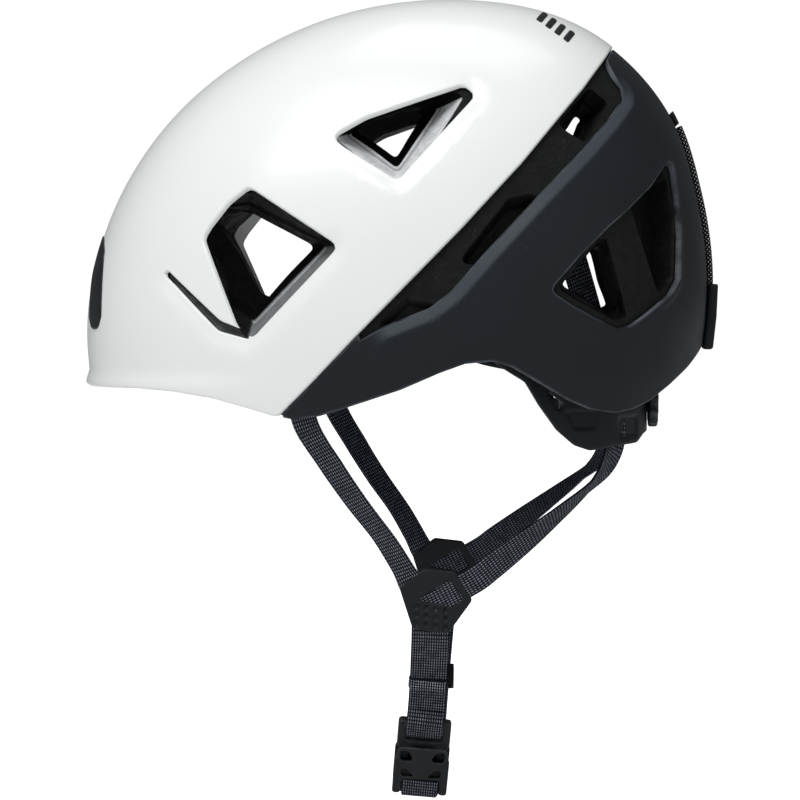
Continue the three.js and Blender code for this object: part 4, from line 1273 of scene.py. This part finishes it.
def elastic_material():
    """Braided elastic: two crossing sets of strands, with light tracer flecks."""
    s = Shader("elastic", 0.8)
    around, along = s.uv()
    along = s.math("DIVIDE", along, BRAID_PITCH)
    around = s.math("DIVIDE", around, BRAID_PITCH)
    one = s.math("FRACT", s.math("ADD", along, around))
    two = s.math("FRACT", s.math("SUBTRACT", along, around))
    strands = s.math("MAXIMUM", s.math("PINGPONG", one, 0.5), s.math("PINGPONG", two, 0.5))
    fleck = s.times(s.span(one, 0.66, 0.74), s.span(two, 0.62, 0.7))
    tone = s.mix(s.noise(150, 3), colour(7, 8, 10), colour(16, 17, 20))
    tone = s.mix(fleck, tone, colour(215, 217, 220))
    s.set("Base Color", tone)
    s.set("Roughness", s.span(s.noise(900, 2), 0.3, 0.7, 0.7, 0.9))
    s.set("Specular IOR Level", 0.2)
    s.bump(strands, 0.3, 0.8)
    return s.material


# ---- Hard parts taken from the CAD solids --------------------------------------------------

SHARP_EDGE = math.radians(28)
# An edge distance that keeps a whole piece free of wear.
WORN_FREE = 5.0


def softened(node, radius, material, body, slot):
    """A CAD solid with its sharp edges rounded."""
    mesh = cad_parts[node].data.copy()
    mesh.materials.clear()
    mesh.materials.append(material)
    obj = bpy.data.objects.new(f"{node}_form", mesh)
    bpy.context.collection.objects.link(obj)
    work = bmesh.new()
    work.from_mesh(mesh)
    bmesh.ops.remove_doubles(work, verts=work.verts, dist=1e-6)
    bmesh.ops.dissolve_limit(work, angle_limit=math.radians(1), verts=work.verts, edges=work.edges)
    edges = [e for e in work.edges if e.is_manifold and e.calc_face_angle(0) > SHARP_EDGE]
    bmesh.ops.bevel(work, geom=edges, offset=radius * MM, segments=3, profile=0.5,
                    affect="EDGES", clamp_overlap=True)
    bmesh.ops.triangulate(work, faces=[f for f in work.faces if len(f.verts) > 4])
    work.to_mesh(mesh)
    work.free()
    for polygon in mesh.polygons:
        polygon.use_smooth = True
    mesh.set_sharp_from_angle(angle=math.radians(32))
    return settle(obj, body, slot, node)


# ---- Straps and dividers -------------------------------------------------------------------

LEG_WEBBING = 11
CHIN_WEBBING = 16
WEBBING_THICKNESS = 1.4
CHIN_THICKNESS = 1.6
LAYER_THICKNESS = 1.35
LAYER_SHIFT = 0.7
FOLD_THICKNESS = 1.3
HEM_WIDTH = CHIN_WEBBING + 0.8
HEM_THICKNESS = 3.2
HEM_SHIFT = 1.5
DIVIDER_Y = -72
DIVIDER_THICKNESS = 3
# The rear strap's station at the cradle's guide, and the chin strap's where its fold begins.
GUIDE = 4
FOLD_START = 4
FRONT_STRAP = [
    [[-38, -92, -133], [1, 0, -0.3]], [[-36, -91.5, -149], [1, 0, -0.45]],
    [[-25.5, -86.5, -167], [1, 0, -0.55]], [[-15, -81.5, -183], [1, 0, -0.65]],
    [[-4, -77, -198], [1, 0, -0.75]], [[3, -73.6, -209.5], [1, 0, -0.75]],
    [[6.5, -72, -216], [1, 0, -0.75]], [[8.6, -72, -220], [1, 0, -0.75]],
]
REAR_STRAP = [
    [[78, -59, -77.6], [1, 0.5, 0.2]], [[84, -53, -98], [1, 0.5, 0.2]],
    [[89.5, -44, -118], [1, 0.6, 0.2]], [[94.4, -37, -140], [1, 0.8, 0.1]],
    [[97, -35.3, -156], [1, 0.8, 0]], [[94, -38.5, -167.5], [0.8, 1, 0.2]],
    [[85, -48, -178.5], [0.3, 1, 0]], [[70.5, -58, -190.5], [0.3, 0.8, -0.5]],
    [[55, -65, -202.5], [0.4, 0.4, -0.8]], [[43, -70, -211.5], [0.6, 0.1, -0.8]],
    [[33.5, -72, -218.3], [0.6, 0, -0.8]], [[9.5, -72, -230.9], [0.6, 0, -0.8]],
]
CHIN_STRAP_LEFT = [
    [[16, -68.8, -234.5], [1, 0, 0]], [[16, -69.6, -240.6], [1, 0, 0]], [[15.5, -64, -249.5], [1, 0, 0]],
    [[14.5, -52.5, -264], [1, 0, 0]], [[13.2, -42.5, -278.2], [1, 0, -0.05]],
    [[12.7, -40.2, -281.6], [1, 0, -0.08]],
]
CHIN_HEM = [
    [[14.7, -54.8, -261.1], [1, 0, -0.08]], [[14.5, -53.1, -263.3], [1, 0, -0.08]],
    [[14.3, -51.4, -265.5], [1, 0, -0.08]],
]
CHIN_STRAP_RIGHT = [
    [[9.4, -17.2, -317.7], [1, 0, -0.08]], [[9.4, -13.5, -320.6], [1, 0, -0.06]],
    [[9.8, -5, -321], [1, 0, 0]], [[10.5, 8, -316.5], [1, 0, 0]], [[11.5, 22, -305.5], [1, 0, 0]],
    [[13.5, 45, -275], [1, 0, 0]], [[15.6, 66, -247.2], [1, 0, 0]], [[16, 69.4, -240.6], [1, 0, 0]],
    [[16, 69.2, -234.5], [1, 0, 0]],
]
BLEND_BELOW_KEEPER = [12.5, 35, -288]
DIVIDER = [
    [3, -221], [4, -219.5], [13.5, -212], [27, -213.5], [34.5, -225.5], [24, -240], [8.5, -238],
]
DIVIDER_WINDOW = [[24.5, -217], [30.5, -225], [25.5, -228.5], [11, -225.5]]
DIMPLES_ACROSS = [10.2, 14.4, 18.6, 22.8]
DIMPLES_DOWN = [-228.4, -232.1, -235.8]
DIMPLE_SLOPE = -0.14
FRONT_ANCHOR = [-38, -92, -124]
REAR_ANCHOR = [77, -60, -70]
# The anchors' outline and slot: x and z reach from the anchor's place.
ANCHOR_TAB = [-7, 7, -7, 6]
ANCHOR_SLOT = [-5.2, 5.2, -4.5, -2.3]
ANCHOR_THICKNESS = 3.6


def metres(point):
    return tuple(c * MM for c in point)


def divider_relief(flat):
    """Rows of round dimples in the lower half, on both faces."""
    depth = np.zeros(len(flat))
    for x in DIMPLES_ACROSS:
        for z in DIMPLES_DOWN:
            centre = [x, z + DIMPLE_SLOPE * (x - DIMPLES_ACROSS[0])]
            gap = np.linalg.norm(flat - centre, axis=1)
            depth = np.maximum(depth, 0.75 * (1 - smoothstep(gap, 0.85, 1.35)))
    return -depth


def strap_side(side, sign, web, plastic):
    """The straps and fittings on one side: sign is 1 on the wearer's left."""

    def stations(path):
        return path if sign > 0 else mirrored_stations(path)

    def spot_in_metres(point):
        return metres([point[0], point[1] * sign, point[2]])

    front = strap(f"front_strap_{side}_form", stations(FRONT_STRAP), LEG_WEBBING, WEBBING_THICKNESS,
                  web)
    settle(front, "root", "webbing", f"front_strap_{side}")
    guide = spot_in_metres(REAR_STRAP[GUIDE][0])
    last = len(REAR_STRAP) - 1
    for part, span, end in (("upper", (0, GUIDE), 0), ("lower", (GUIDE, last), last - 1)):
        rear = strap(f"rear_strap_{side}_{part}", stations(REAR_STRAP), LEG_WEBBING,
                     WEBBING_THICKNESS, web, span)
        settle_between(rear, f"rear_strap_{side}",
                       spot_in_metres(REAR_STRAP[end][0]), guide)
    divider = plate(f"strap_divider_{side}_form", DIVIDER, [DIVIDER_WINDOW], DIVIDER_THICKNESS, 0.9,
                    side_place(DIVIDER_Y * sign), plastic, 0.7, divider_relief, 2.4, 0.6)
    settle(divider, "root", "fit_plastic", f"strap_divider_{side}")
    for name, (x, y, z) in (("front_anchor", FRONT_ANCHOR), ("rear_anchor", REAR_ANCHOR)):
        tab = plate(f"{name}_{side}_form", rectangle(*ANCHOR_TAB, (x, z)),
                    [rectangle(*ANCHOR_SLOT, (x, z))], ANCHOR_THICKNESS, 0.8,
                    side_place(y * sign), plastic, 1.2, None, 1.8, 0.5)
        settle(tab, "root", "fit_plastic", f"{name}_{side}")


def chin_straps(web, plain):
    for part, span, shift in (("under", None, -LAYER_SHIFT), ("tail", (0, 3), LAYER_SHIFT)):
        layer = strap(f"chin_strap_left_{part}", CHIN_STRAP_LEFT, CHIN_WEBBING, LAYER_THICKNESS, web, span,
                      shift)
        settle(layer, "root", "webbing", "chin_strap_left")
    over_bar = fold_stations(MALE_FOLD, CHIN_STRAP_LEFT[FOLD_START][0])
    fold = strap("chin_strap_left_fold", over_bar, CHIN_WEBBING, FOLD_THICKNESS, web)
    settle(fold, "root", "webbing")
    bright = webbing_material("webbing_hem", colour(205, 211, 224), 1.0)
    hem = strap("chin_strap_left_hem", CHIN_HEM, HEM_WIDTH, HEM_THICKNESS, bright, None, HEM_SHIFT)
    settle(hem, "root", "webbing")
    # The right chin strap takes the far webbing, the copy painted for the shade on the far side.
    right = strap("chin_strap_right_form", CHIN_STRAP_RIGHT, CHIN_WEBBING, CHIN_THICKNESS, plain)
    settle_between(right, "chin_strap_right",
                   metres(BLEND_BELOW_KEEPER), metres(CHIN_STRAP_RIGHT[1][0]))


# ---- Chin buckle, in its own frame: x across the webbing, z along it -----------------------

BUCKLE_PLACE = np.array([11, -27.5, -301.5])
BUCKLE_LEAN = math.radians(32)
BUCKLE_TURN = math.radians(5)
MALE_OUTLINE = [
    [-11.8, 22.2], [11.8, 22.2], [11.8, 8.5], [10.4, 5.4], [3, 5.4], [3, -11], [-3, -11], [-3, 5.4],
    [-10.4, 5.4], [-11.8, 8.5],
]
MALE_WINDOW = rectangle(-8.1, 8.1, 11, 18.8)
FEMALE_COVER = [
    [-12.3, -17.6], [-8.6, -17.6], [-8.6, -9.2], [8.6, -9.2], [8.6, -17.6], [12.3, -17.6],
    [12.3, 2.6], [11.3, 4.6], [11.1, 8.4], [9.6, 9.3], [-9.6, 9.3], [-11.1, 8.4], [-11.3, 4.6],
    [-12.3, 2.6],
]
FEMALE_HOLES = [
    [[-10.1, 5.2], [-9.2, 7.8], [-6.4, 7.4], [-4.2, 3.2], [-5.2, 1.4], [-9.4, 1.5]],
    [[-9.0, -3.2], [-6.4, -3.0], [-3.4, -6.9], [-4.0, -7.6], [-8.8, -7.6]],
]
MALE_THICKNESS = 4.3
COVER_THICKNESS = 1.2
COVER_STAND_OFF = 4.65
# Where the webbing folds over each half's bar.
MALE_FOLD = [
    [-0.4, -3.4, 23.5], [-0.5, -3.2, 20.5], [-0.5, -2.9, 17.5], [-0.5, -1.6, 14.2], [-0.5, 0.2, 12.2],
]
FEMALE_FOLD = [[0, -4.9, -9.3], [0, -5.2, -14.8], [0, -4.6, -18.3], [0, -2.4, -19.8], [0, 0.4, -19.9]]
FOLD_ACROSS = [1, 0, -0.08]


def in_buckle(points):
    lean = np.array(Matrix.Rotation(BUCKLE_LEAN, 3, "X") @ Matrix.Rotation(BUCKLE_TURN, 3, "Y"))
    return points @ lean.T + BUCKLE_PLACE


def fold_stations(turn_points, *before):
    return [[p, FOLD_ACROSS] for p in [*before, *in_buckle(np.array(turn_points, float)).tolist()]]


def buckle_plate(points):
    """Plates drawn across and along the webbing, with height toward the outside."""
    return in_buckle(np.column_stack([points[:, 0], -points[:, 2], points[:, 1]]))


def chin_buckle(plain, web):
    face = plastic_material("buckle_plastic", (26, 27, 29), (38, 40, 43))
    male = plate("buckle_male_form", MALE_OUTLINE, [MALE_WINDOW], MALE_THICKNESS, 1.0, buckle_plate,
                 face, 1.2, None, 1.8, 0.6)
    settle(male, "root", "fit_plastic", "buckle_male")
    holes = FEMALE_HOLES + [[[-x, z] for x, z in hole] for hole in FEMALE_HOLES]
    for name, side in (("front", 1), ("back", -1)):
        def over(points, side=side):
            return buckle_plate(points * [1, 1, side] + [0, 0, COVER_STAND_OFF * side])

        cover = plate(f"buckle_{name}_cover", FEMALE_COVER, holes, COVER_THICKNESS, 0.55, over, face,
                      1.0, None, 1.4, 0.8)
        settle(cover, "buckle_female", "fit_plastic")
    # Painted shade: the female core is drawn near black, far darker than the covers, so the covers' holes
    # look deep in shade.
    shaded_core = cad_plastic_material("buckle_core_shaded", (3, 3, 4), (8, 8, 9))
    softened("buckle_female", 0.55, shaded_core, "buckle_female", "fit_plastic")
    fold = strap("buckle_fold", fold_stations(FEMALE_FOLD), CHIN_WEBBING, FOLD_THICKNESS, web)
    settle(fold, "buckle_female", "webbing")
    for node, body in (("buckle_latch_front", "latch_front"), ("buckle_latch_rear", "latch_rear"),
                       ("strap_keeper", "keeper")):
        softened(node, 0.5, plain, body, "fit_plastic")


# ---- Cradle, dial and headband -------------------------------------------------------------

CRADLE_CENTRE_X = 30
CRADLE_LENGTH = 82
CRADLE_HALF_WIDTH = 68
CRADLE_THICKNESS = 2.5
DIAL_Z = -141
SHAFT_HOLE_RADIUS = 4
CRADLE_SIDE = [
    [112, -127], [90, -127], [60, -119], [44, -116], [44, -124], [57, -132], [63, -142], [71, -153],
    [79, -160], [86, -162.5], [96, -161], [107, -160.5], [110, -157], [112, -156.2],
]
CRADLE_PANELS = [
    [[74, -144.5], [88.5, -144.5], [88.5, -153.5], [78, -153.5]],
    [[98, -148], [107, -148], [107, -158], [98, -158]],
]
PANEL_DEPTH = 0.95
CRADLE_WINDOWS = [[[65.5, -134.5], [74, -142], [71.5, -145]]]
DIAL_RADIUS = 13.5
DIAL_FRONT = 112.4
DIAL_BACK = 116.8
DIAL_SCALLOPS = 12
SCALLOP_DEPTH = 0.9
DISH_DEPTH = 0.9
DIAL_HOLE_RADIUS = 3.0
DIAL_SHAFT_RADIUS = 3.2
DIAL_SHAFT_END = 100.3
ARM_WIDTH = 9
ARM_THICKNESS = 1.6
ARM_INSET = CRADLE_THICKNESS + 1.9
ARM_REAR = [[98.1, -23.4, -136.6], [97.6, -27.5, -136]]
ARM_BENDS = [33, 43, 53, 63, 72, 82]
ARM_LOW_Z = -134.5
ARM_RISE = 2.8
RIGHT_ARM_DROP = [8.8, 8.6, 6.5, 3, 0.8]
ARM_FRONT = [[30, -68.5, -117.5], [8, -76, -114], [-14, -81, -112], [-27, -82, -111.5]]

TURN_TABLE = np.linspace(0, math.pi, 721)
RING_TABLE = np.stack([CRADLE_LENGTH * np.cos(TURN_TABLE), CRADLE_HALF_WIDTH * np.sin(TURN_TABLE)], 1)
RUN_TABLE = run_along(RING_TABLE)


def round_cradle(points):
    """[distance round from straight back, z, height] on the cradle's outer ellipse."""
    run, z, height = points[:, 0], points[:, 1], points[:, 2]
    turn = np.interp(np.abs(run), RUN_TABLE, TURN_TABLE) * np.sign(run)
    normal = unit(np.stack([np.cos(turn) / CRADLE_LENGTH, -np.sin(turn) / CRADLE_HALF_WIDTH], axis=1))
    out = (height - CRADLE_THICKNESS / 2)[:, None] * normal
    return np.column_stack([CRADLE_CENTRE_X + CRADLE_LENGTH * np.cos(turn) + out[:, 0],
                            -CRADLE_HALF_WIDTH * np.sin(turn) + out[:, 1], z])


def unrolled(flat):
    """Side-view points [x, z] laid out as distance round the cradle, on the wearer's left."""
    turn = np.arccos(np.clip((flat[:, 0] - CRADLE_CENTRE_X) / CRADLE_LENGTH, -1, 1))
    return np.stack([np.interp(turn, TURN_TABLE, RUN_TABLE), flat[:, 1]], axis=1)


def cradle_band(plastic):
    left = unrolled(resample(rounded(CRADLE_SIDE, 2.5, closed=False), 1.0, closed=False))
    outline = np.vstack([left, left[::-1][1:-1] * [-1, 1]])
    panels, windows = [], []
    for group, outlines in ((panels, CRADLE_PANELS), (windows, CRADLE_WINDOWS)):
        for corners in outlines:
            loop = unrolled(resample(rounded(corners, 1.5), 1.0))
            group += [loop, loop[::-1] * [-1, 1]]

    def sunk(flat):
        """Shallow panels in both faces, with a rounded step round each."""
        depth = np.zeros(len(flat))
        for loop in panels:
            distance = gap_to(flat, [loop])
            signed = np.where(inside(flat, loop), distance, -distance)
            depth += PANEL_DEPTH * smoothstep(signed, -0.1, 0.7)
        return -depth

    shaft = circle(SHAFT_HOLE_RADIUS) + [0, DIAL_Z]
    band = plate("cradle_form", outline, [*windows, shaft], CRADLE_THICKNESS, 0.8, round_cradle,
                 plastic, 1.3, sunk, 0.3, 0.3)
    settle(band, "cradle", "fit_plastic", "cradle")


def dial(plastic):
    count = DIAL_SCALLOPS * 18
    reach = DIAL_RADIUS - SCALLOP_DEPTH + SCALLOP_DEPTH * np.cos(turns(count) * DIAL_SCALLOPS)
    outline = circle(1, count) * reach[:, None]

    def dish(flat):
        r = np.linalg.norm(flat, axis=1)
        spoke = np.cos(3 * np.arctan2(flat[:, 1], flat[:, 0])) ** 2
        ring = smoothstep(r, 4.2, 5.4) * (1 - smoothstep(r, 9.0, 10.2))
        return -DISH_DEPTH * ring * (0.35 + 0.65 * (1 - smoothstep(spoke, 0.7, 0.95)))

    def behind(p):
        middle = (DIAL_FRONT + DIAL_BACK) / 2
        return np.column_stack([middle + p[:, 2], p[:, 0], DIAL_Z + p[:, 1]])

    knob = plate("fit_dial_form", outline, [circle(DIAL_HOLE_RADIUS)], DIAL_BACK - DIAL_FRONT, 1.1,
                 behind, plastic, 0.9, dish, 0.3, 0.3)
    settle(knob, "fit_dial", "fit_plastic", "fit_dial")
    ends = np.array([[DIAL_FRONT + 0.4, 0, DIAL_Z], [DIAL_SHAFT_END, 0, DIAL_Z]])
    shaft = tube("dial_shaft", ends, DIAL_SHAFT_RADIUS, plastic, 1.5)
    settle(shaft, "fit_dial", "fit_plastic")


def tube(name, path, radius, material, step, sides=20):
    """A round bar along a path square to y, with its ends slightly rounded in."""
    path = resample(path, step, closed=False)
    along = unit(np.gradient(path, axis=0))
    one = unit(np.cross(along, [0, 1.0, 0]))
    two = np.cross(along, one)
    length = run_along(path)
    reach = np.full(len(path) + 2, radius)
    reach[[0, -1]] = 0.7 * radius
    path, one, two, length = (np.concatenate([v[:1], v, v[-1:]]) for v in (path, one, two, length))
    path[0] -= along[0] * 0.25 * radius
    path[-1] += along[-1] * 0.25 * radius
    points, uv = [], []
    for i in range(len(path)):
        for a in turns(sides):
            points.append(path[i] + reach[i] * (one[i] * math.cos(a) + two[i] * math.sin(a)))
            uv.append((radius * abs(a - math.pi), length[i]))
    return make_object(name, np.array(points), swept_faces(len(path), sides), material, 50,
                       {"edge": np.full(len(points), WORN_FREE)}, np.array(uv))


def arm_point(degrees, z):
    turn = math.radians(degrees)
    return [CRADLE_CENTRE_X + (CRADLE_LENGTH - ARM_INSET) * math.cos(turn),
            -(CRADLE_HALF_WIDTH - ARM_INSET) * math.sin(turn), z]


def headband_arms(material):
    bends = [arm_point(d, ARM_LOW_Z + ARM_RISE * i) for i, d in enumerate(ARM_BENDS)]
    path = [[p, [0, 0, 1]] for p in [*ARM_REAR, *bends, *ARM_FRONT]]
    lower = [[[x, y, z - drop], a] for ([x, y, z], a), drop in zip(path, RIGHT_ARM_DROP)]
    for side, stations in (("left", path), ("right", mirrored_stations(lower + path[len(lower):]))):
        arm = strap(f"headband_arm_{side}_form", stations, ARM_WIDTH, ARM_THICKNESS, material)
        settle_between(arm, f"headband_arm_{side}",
                       metres(stations[3][0]), metres(stations[0][0]))


def dial_parts(plain, steel):
    softened("dial_housing", 0.4, plain, "cradle", "fit_plastic")
    softened("housing_cover", 0.35, plain, "cradle", "fit_plastic")
    softened("click_spring", 0.08, steel, "cradle", "steel")
    softened("dial_pinion", 0.12, plain, "fit_dial", "fit_plastic")
    softened("dial_screw", 0.2, steel, "fit_dial", "steel")
    for side in ("left", "right"):
        softened(f"headband_rack_{side}", 0.12, plain, f"headband_{side}", "fit_plastic")
        softened(f"headband_pin_{side}", 0.3, plain, "root", "fit_plastic")


# ---- Pads ----------------------------------------------------------------------------------

PAD_RIM_DEPTH = 0.42
PAD_CLEARANCE = 0.5
PIPING_RADIUS = 0.55
BEAD_SIDES = 8


def pad(name, spread, channels, size, material, body):
    """A crowned closed form. spread(u, v, depth) gives points for u and v from -1 to 1.

    Depth is 0 at the side that rests on something and 1 at the side toward the head. Channels are
    the u of sewn lines across the pad.
    """
    count_u, count_v = size

    def eased(count):
        return np.sin(np.linspace(-1, 1, count) * math.pi / 2)

    u, v = np.meshgrid(eased(count_u), eased(count_v), indexing="ij")
    crown = ((1 - np.abs(u) ** 8) * (1 - np.abs(v) ** 5)) ** 0.45
    sewn = sum(np.exp(-((u - c) / 0.035) ** 2) for c in channels)
    inner = PAD_RIM_DEPTH + (1 - PAD_RIM_DEPTH) * crown * (1 - 0.42 * sewn)
    outer = PAD_RIM_DEPTH * (1 - crown ** 0.6)
    front = spread(u.ravel(), v.ravel(), inner.ravel())
    back = spread(u.ravel(), v.ravel(), outer.ravel())
    number = np.arange(count_u * count_v).reshape(count_u, count_v)
    quads = [(number[i, j], number[i + 1, j], number[i + 1, j + 1], number[i, j + 1])
             for i in range(count_u - 1) for j in range(count_v - 1)]
    total = count_u * count_v
    faces = quads + [tuple(total + k for k in q[::-1]) for q in quads]
    points, faces, _ = weld(np.vstack([front, back]), faces, 0.02)
    edge = np.concatenate([number[:, 0], number[-1, 1:], number[::-1, -1][1:], number[0, ::-1][1:-1]])
    obj = make_object(name, points, faces, material, 60)
    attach(obj, body)
    piping = tube_loop(f"{name}_piping", front[edge], PIPING_RADIUS, material)
    settle(piping, body, "padding")
    return obj


def tube_loop(name, loop, radius, material):
    """A closed bead round a loop of points."""
    path = resample(loop, 1.6)
    along = unit(along_loop(path))
    out = path - path.mean(axis=0)
    out = unit(out - along * np.sum(out * along, axis=1, keepdims=True))
    up = np.cross(along, out)
    points = [path[i] + radius * (out[i] * math.cos(a) + up[i] * math.sin(a))
              for i in range(len(path)) for a in turns(BEAD_SIDES)]
    faces = ring_faces(len(path), BEAD_SIDES, closed=True)
    return make_object(name, np.array(points), faces, material, 60)


# The crown pad's centre x, half length and half width, and how much of an oval it fills.
CROWN_PAD = [14, 36, 28]
CROWN_PAD_SHARE = 0.985
CROWN_PAD_LOW_Z = 0.3
BROW_HALF_WIDTH = 59
BROW_HEIGHTS = [-125.5, -100.5]
BROW_THICKNESS = 7.6
PAD_TURN = [28.5, 52]
PAD_HEIGHTS = [-152.5, -130.5]
PAD_INSETS = [10.2, 14.3]


def crown_spread(u, v, depth):
    x = CROWN_PAD[0] + CROWN_PAD[1] * CROWN_PAD_SHARE * u * np.sqrt(1 - v * v / 2)
    y = CROWN_PAD[2] * CROWN_PAD_SHARE * v * np.sqrt(1 - u * u / 2)

    def at(z):
        return np.stack([x, y, z], axis=1)

    top = bisect(lambda z: level(at(z), cavity_offset), np.full(len(x), -20.0), np.full(len(x), 40.0))
    return at((top - PAD_CLEARANCE) * (1 - depth) + CROWN_PAD_LOW_Z * depth)


def brow_spread(u, v, depth):
    y = BROW_HALF_WIDTH * u
    z = between(BROW_HEIGHTS, (v + 1) / 2)

    def at(x):
        return np.stack([x, y, z], axis=1)

    on_foam = at(bisect(lambda x: -level(at(x), cavity_offset), np.full(len(y), -150.0),
                        np.full(len(y), -20.0)))
    inset = between((PAD_CLEARANCE, BROW_THICKNESS), depth)
    return spot(directions(on_foam), lambda p: cavity_offset(p) - inset)


def cradle_pad_spread(sign):
    def spread(u, v, depth):
        turn = np.radians(between(PAD_TURN, (u + 1) / 2))
        inset = between(PAD_INSETS, depth)
        z = between(PAD_HEIGHTS, (v + 1) / 2)
        return np.stack([CRADLE_CENTRE_X + (CRADLE_LENGTH - inset) * np.cos(turn),
                         -sign * (CRADLE_HALF_WIDTH - inset) * np.sin(turn), z], axis=1)

    return spread


def pads(material):
    crown = pad("crown_pad_form", crown_spread, (-0.4, 0.4), (61, 45), material, "root")
    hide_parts("crown_pad")
    brow = pad("brow_pad_form", brow_spread, (-0.55, 0, 0.55), (81, 25), material, "root")
    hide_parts("brow_pad")
    for side, sign in (("left", 1), ("right", -1)):
        cushion = pad(f"cradle_pad_{side}_form", cradle_pad_spread(sign), (0.0,), (45, 25),
                      material, "cradle")
        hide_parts(f"cradle_pad_{side}")


# ---- Bungee at the back --------------------------------------------------------------------

BUNGEE_TOP = 41
BUNGEE_BOTTOM = 12.8
BUNGEE_RADIUS = 1.5
# How many degrees the cord runs on under its anchor and under its hook.
CORD_UNDER_ANCHOR = 0.4
CORD_UNDER_HOOK = 0.9
ANCHOR_SEAT = 0.45
ANCHOR_FLATNESS = 0.5


def flatten_onto_shell(obj, share):
    """Lowers a part's stand-off from the rear shell to a share of what it was, above its seat."""
    co = np.array([v.co for v in obj.data.vertices]) / MM
    height = level(co, outer_offset(REAR_SHELL_INSET))
    lower = between((ANCHOR_SEAT, height), share)
    co = co - directions(co) * (height - lower)[:, None]
    obj.data.vertices.foreach_set("co", (co * MM).astype(np.float32).ravel())
    obj.data.update()


def bungee(elastic, plain):
    turn = np.linspace(BUNGEE_TOP + CORD_UNDER_ANCHOR, BUNGEE_BOTTOM - CORD_UNDER_HOOK, 40)
    reach = side_radius(turn) - REAR_SHELL_INSET + BUNGEE_RADIUS + FIT_GAP
    path = np.stack([DOME_CENTRE[0] + reach * np.cos(np.radians(turn)), 0 * turn,
                     DOME_CENTRE[2] + reach * np.sin(np.radians(turn))], axis=1)
    cord = tube("bungee_cord_form", path, BUNGEE_RADIUS, elastic, 0.8, 24)
    settle(cord, "bungee", "elastic", "bungee_cord")
    softened("bungee_hook", 1.3, plain, "bungee", "fit_plastic")
    anchor = softened("bungee_anchor", 0.45, plain, "root", "fit_plastic")
    flatten_onto_shell(anchor, ANCHOR_FLATNESS)


# ---- Generic marks on the shell ------------------------------------------------------------

BADGE = [[-137.4, -72], [-135, -67.5], [-131.4, -69], [-129.6, -75], [-129.6, -104], [-131.4, -109.5],
         [-135.3, -110], [-137.2, -105]]
STRIPES = [[[64.5 + 3.9 * i, 31.2 - 3.1 * i], [66.9 + 3.9 * i, 29.3 - 3.1 * i],
            [63.6 + 3.9 * i, 24.4 - 3.1 * i], [61.2 + 3.9 * i, 26.3 - 3.1 * i]] for i in range(4)]


def raised_mark(name, outline, radius, thickness, material):
    """A thin raised shape on the outer surface, on the wearer's left."""
    loop = lift(resample(rounded(outline, radius), 0.9), flush)
    flat, tris, loops = sheet_mesh(loop, [], [0.15, 0.4], 2.0)
    out = from_chart(flat)
    distance = gap_to(spot(out, flush), loops)
    top = spot(out, outer_offset(-thickness)) - out * edge_drop(distance, 0.4)[:, None]
    bottom = spot(out, outer_offset(-0.02))
    obj = two_sided(name, top, bottom, tris, material, {"edge": np.tile(distance, 2)})
    settle(obj, "root", "fit_plastic")


# ---- The whole helmet ----------------------------------------------------------------------


def build_helmet():
    plastic = plastic_material("fit_plastic", (19, 21, 24), (29, 32, 36))
    plain = cad_plastic_material("fit_plastic_plain", (13, 15, 18), (23, 26, 30))
    steel = steel_material()
    # Painted light: near and far are one webbing, drawn as two copies with different dash tones for the
    # light on the near side and the shade on the far side.
    near = webbing_material("webbing_near_lit", colour(176, 182, 196), 0.8)
    far = webbing_material("webbing_far_shaded", colour(146, 154, 172), 0.9)
    front_shell()
    rear_shell()
    foam_liner()
    strap_side("left", 1, near, plastic)
    strap_side("right", -1, far, plastic)
    chin_straps(near, far)
    chin_buckle(plain, near)
    cradle_band(plastic)
    dial(plastic)
    headband_arms(plain)
    dial_parts(plain, steel)
    pads(textile_material())
    bungee(elastic_material(), plain)
    raised_mark("brow_badge", BADGE, 2.5, 0.6, plastic)
    for number, outline in enumerate(STRIPES):
        raised_mark(f"crown_stripe_{number + 1}", outline, 0.5, 0.4, plastic)


add_camera()
add_studio()
add_floor()
build_helmet()
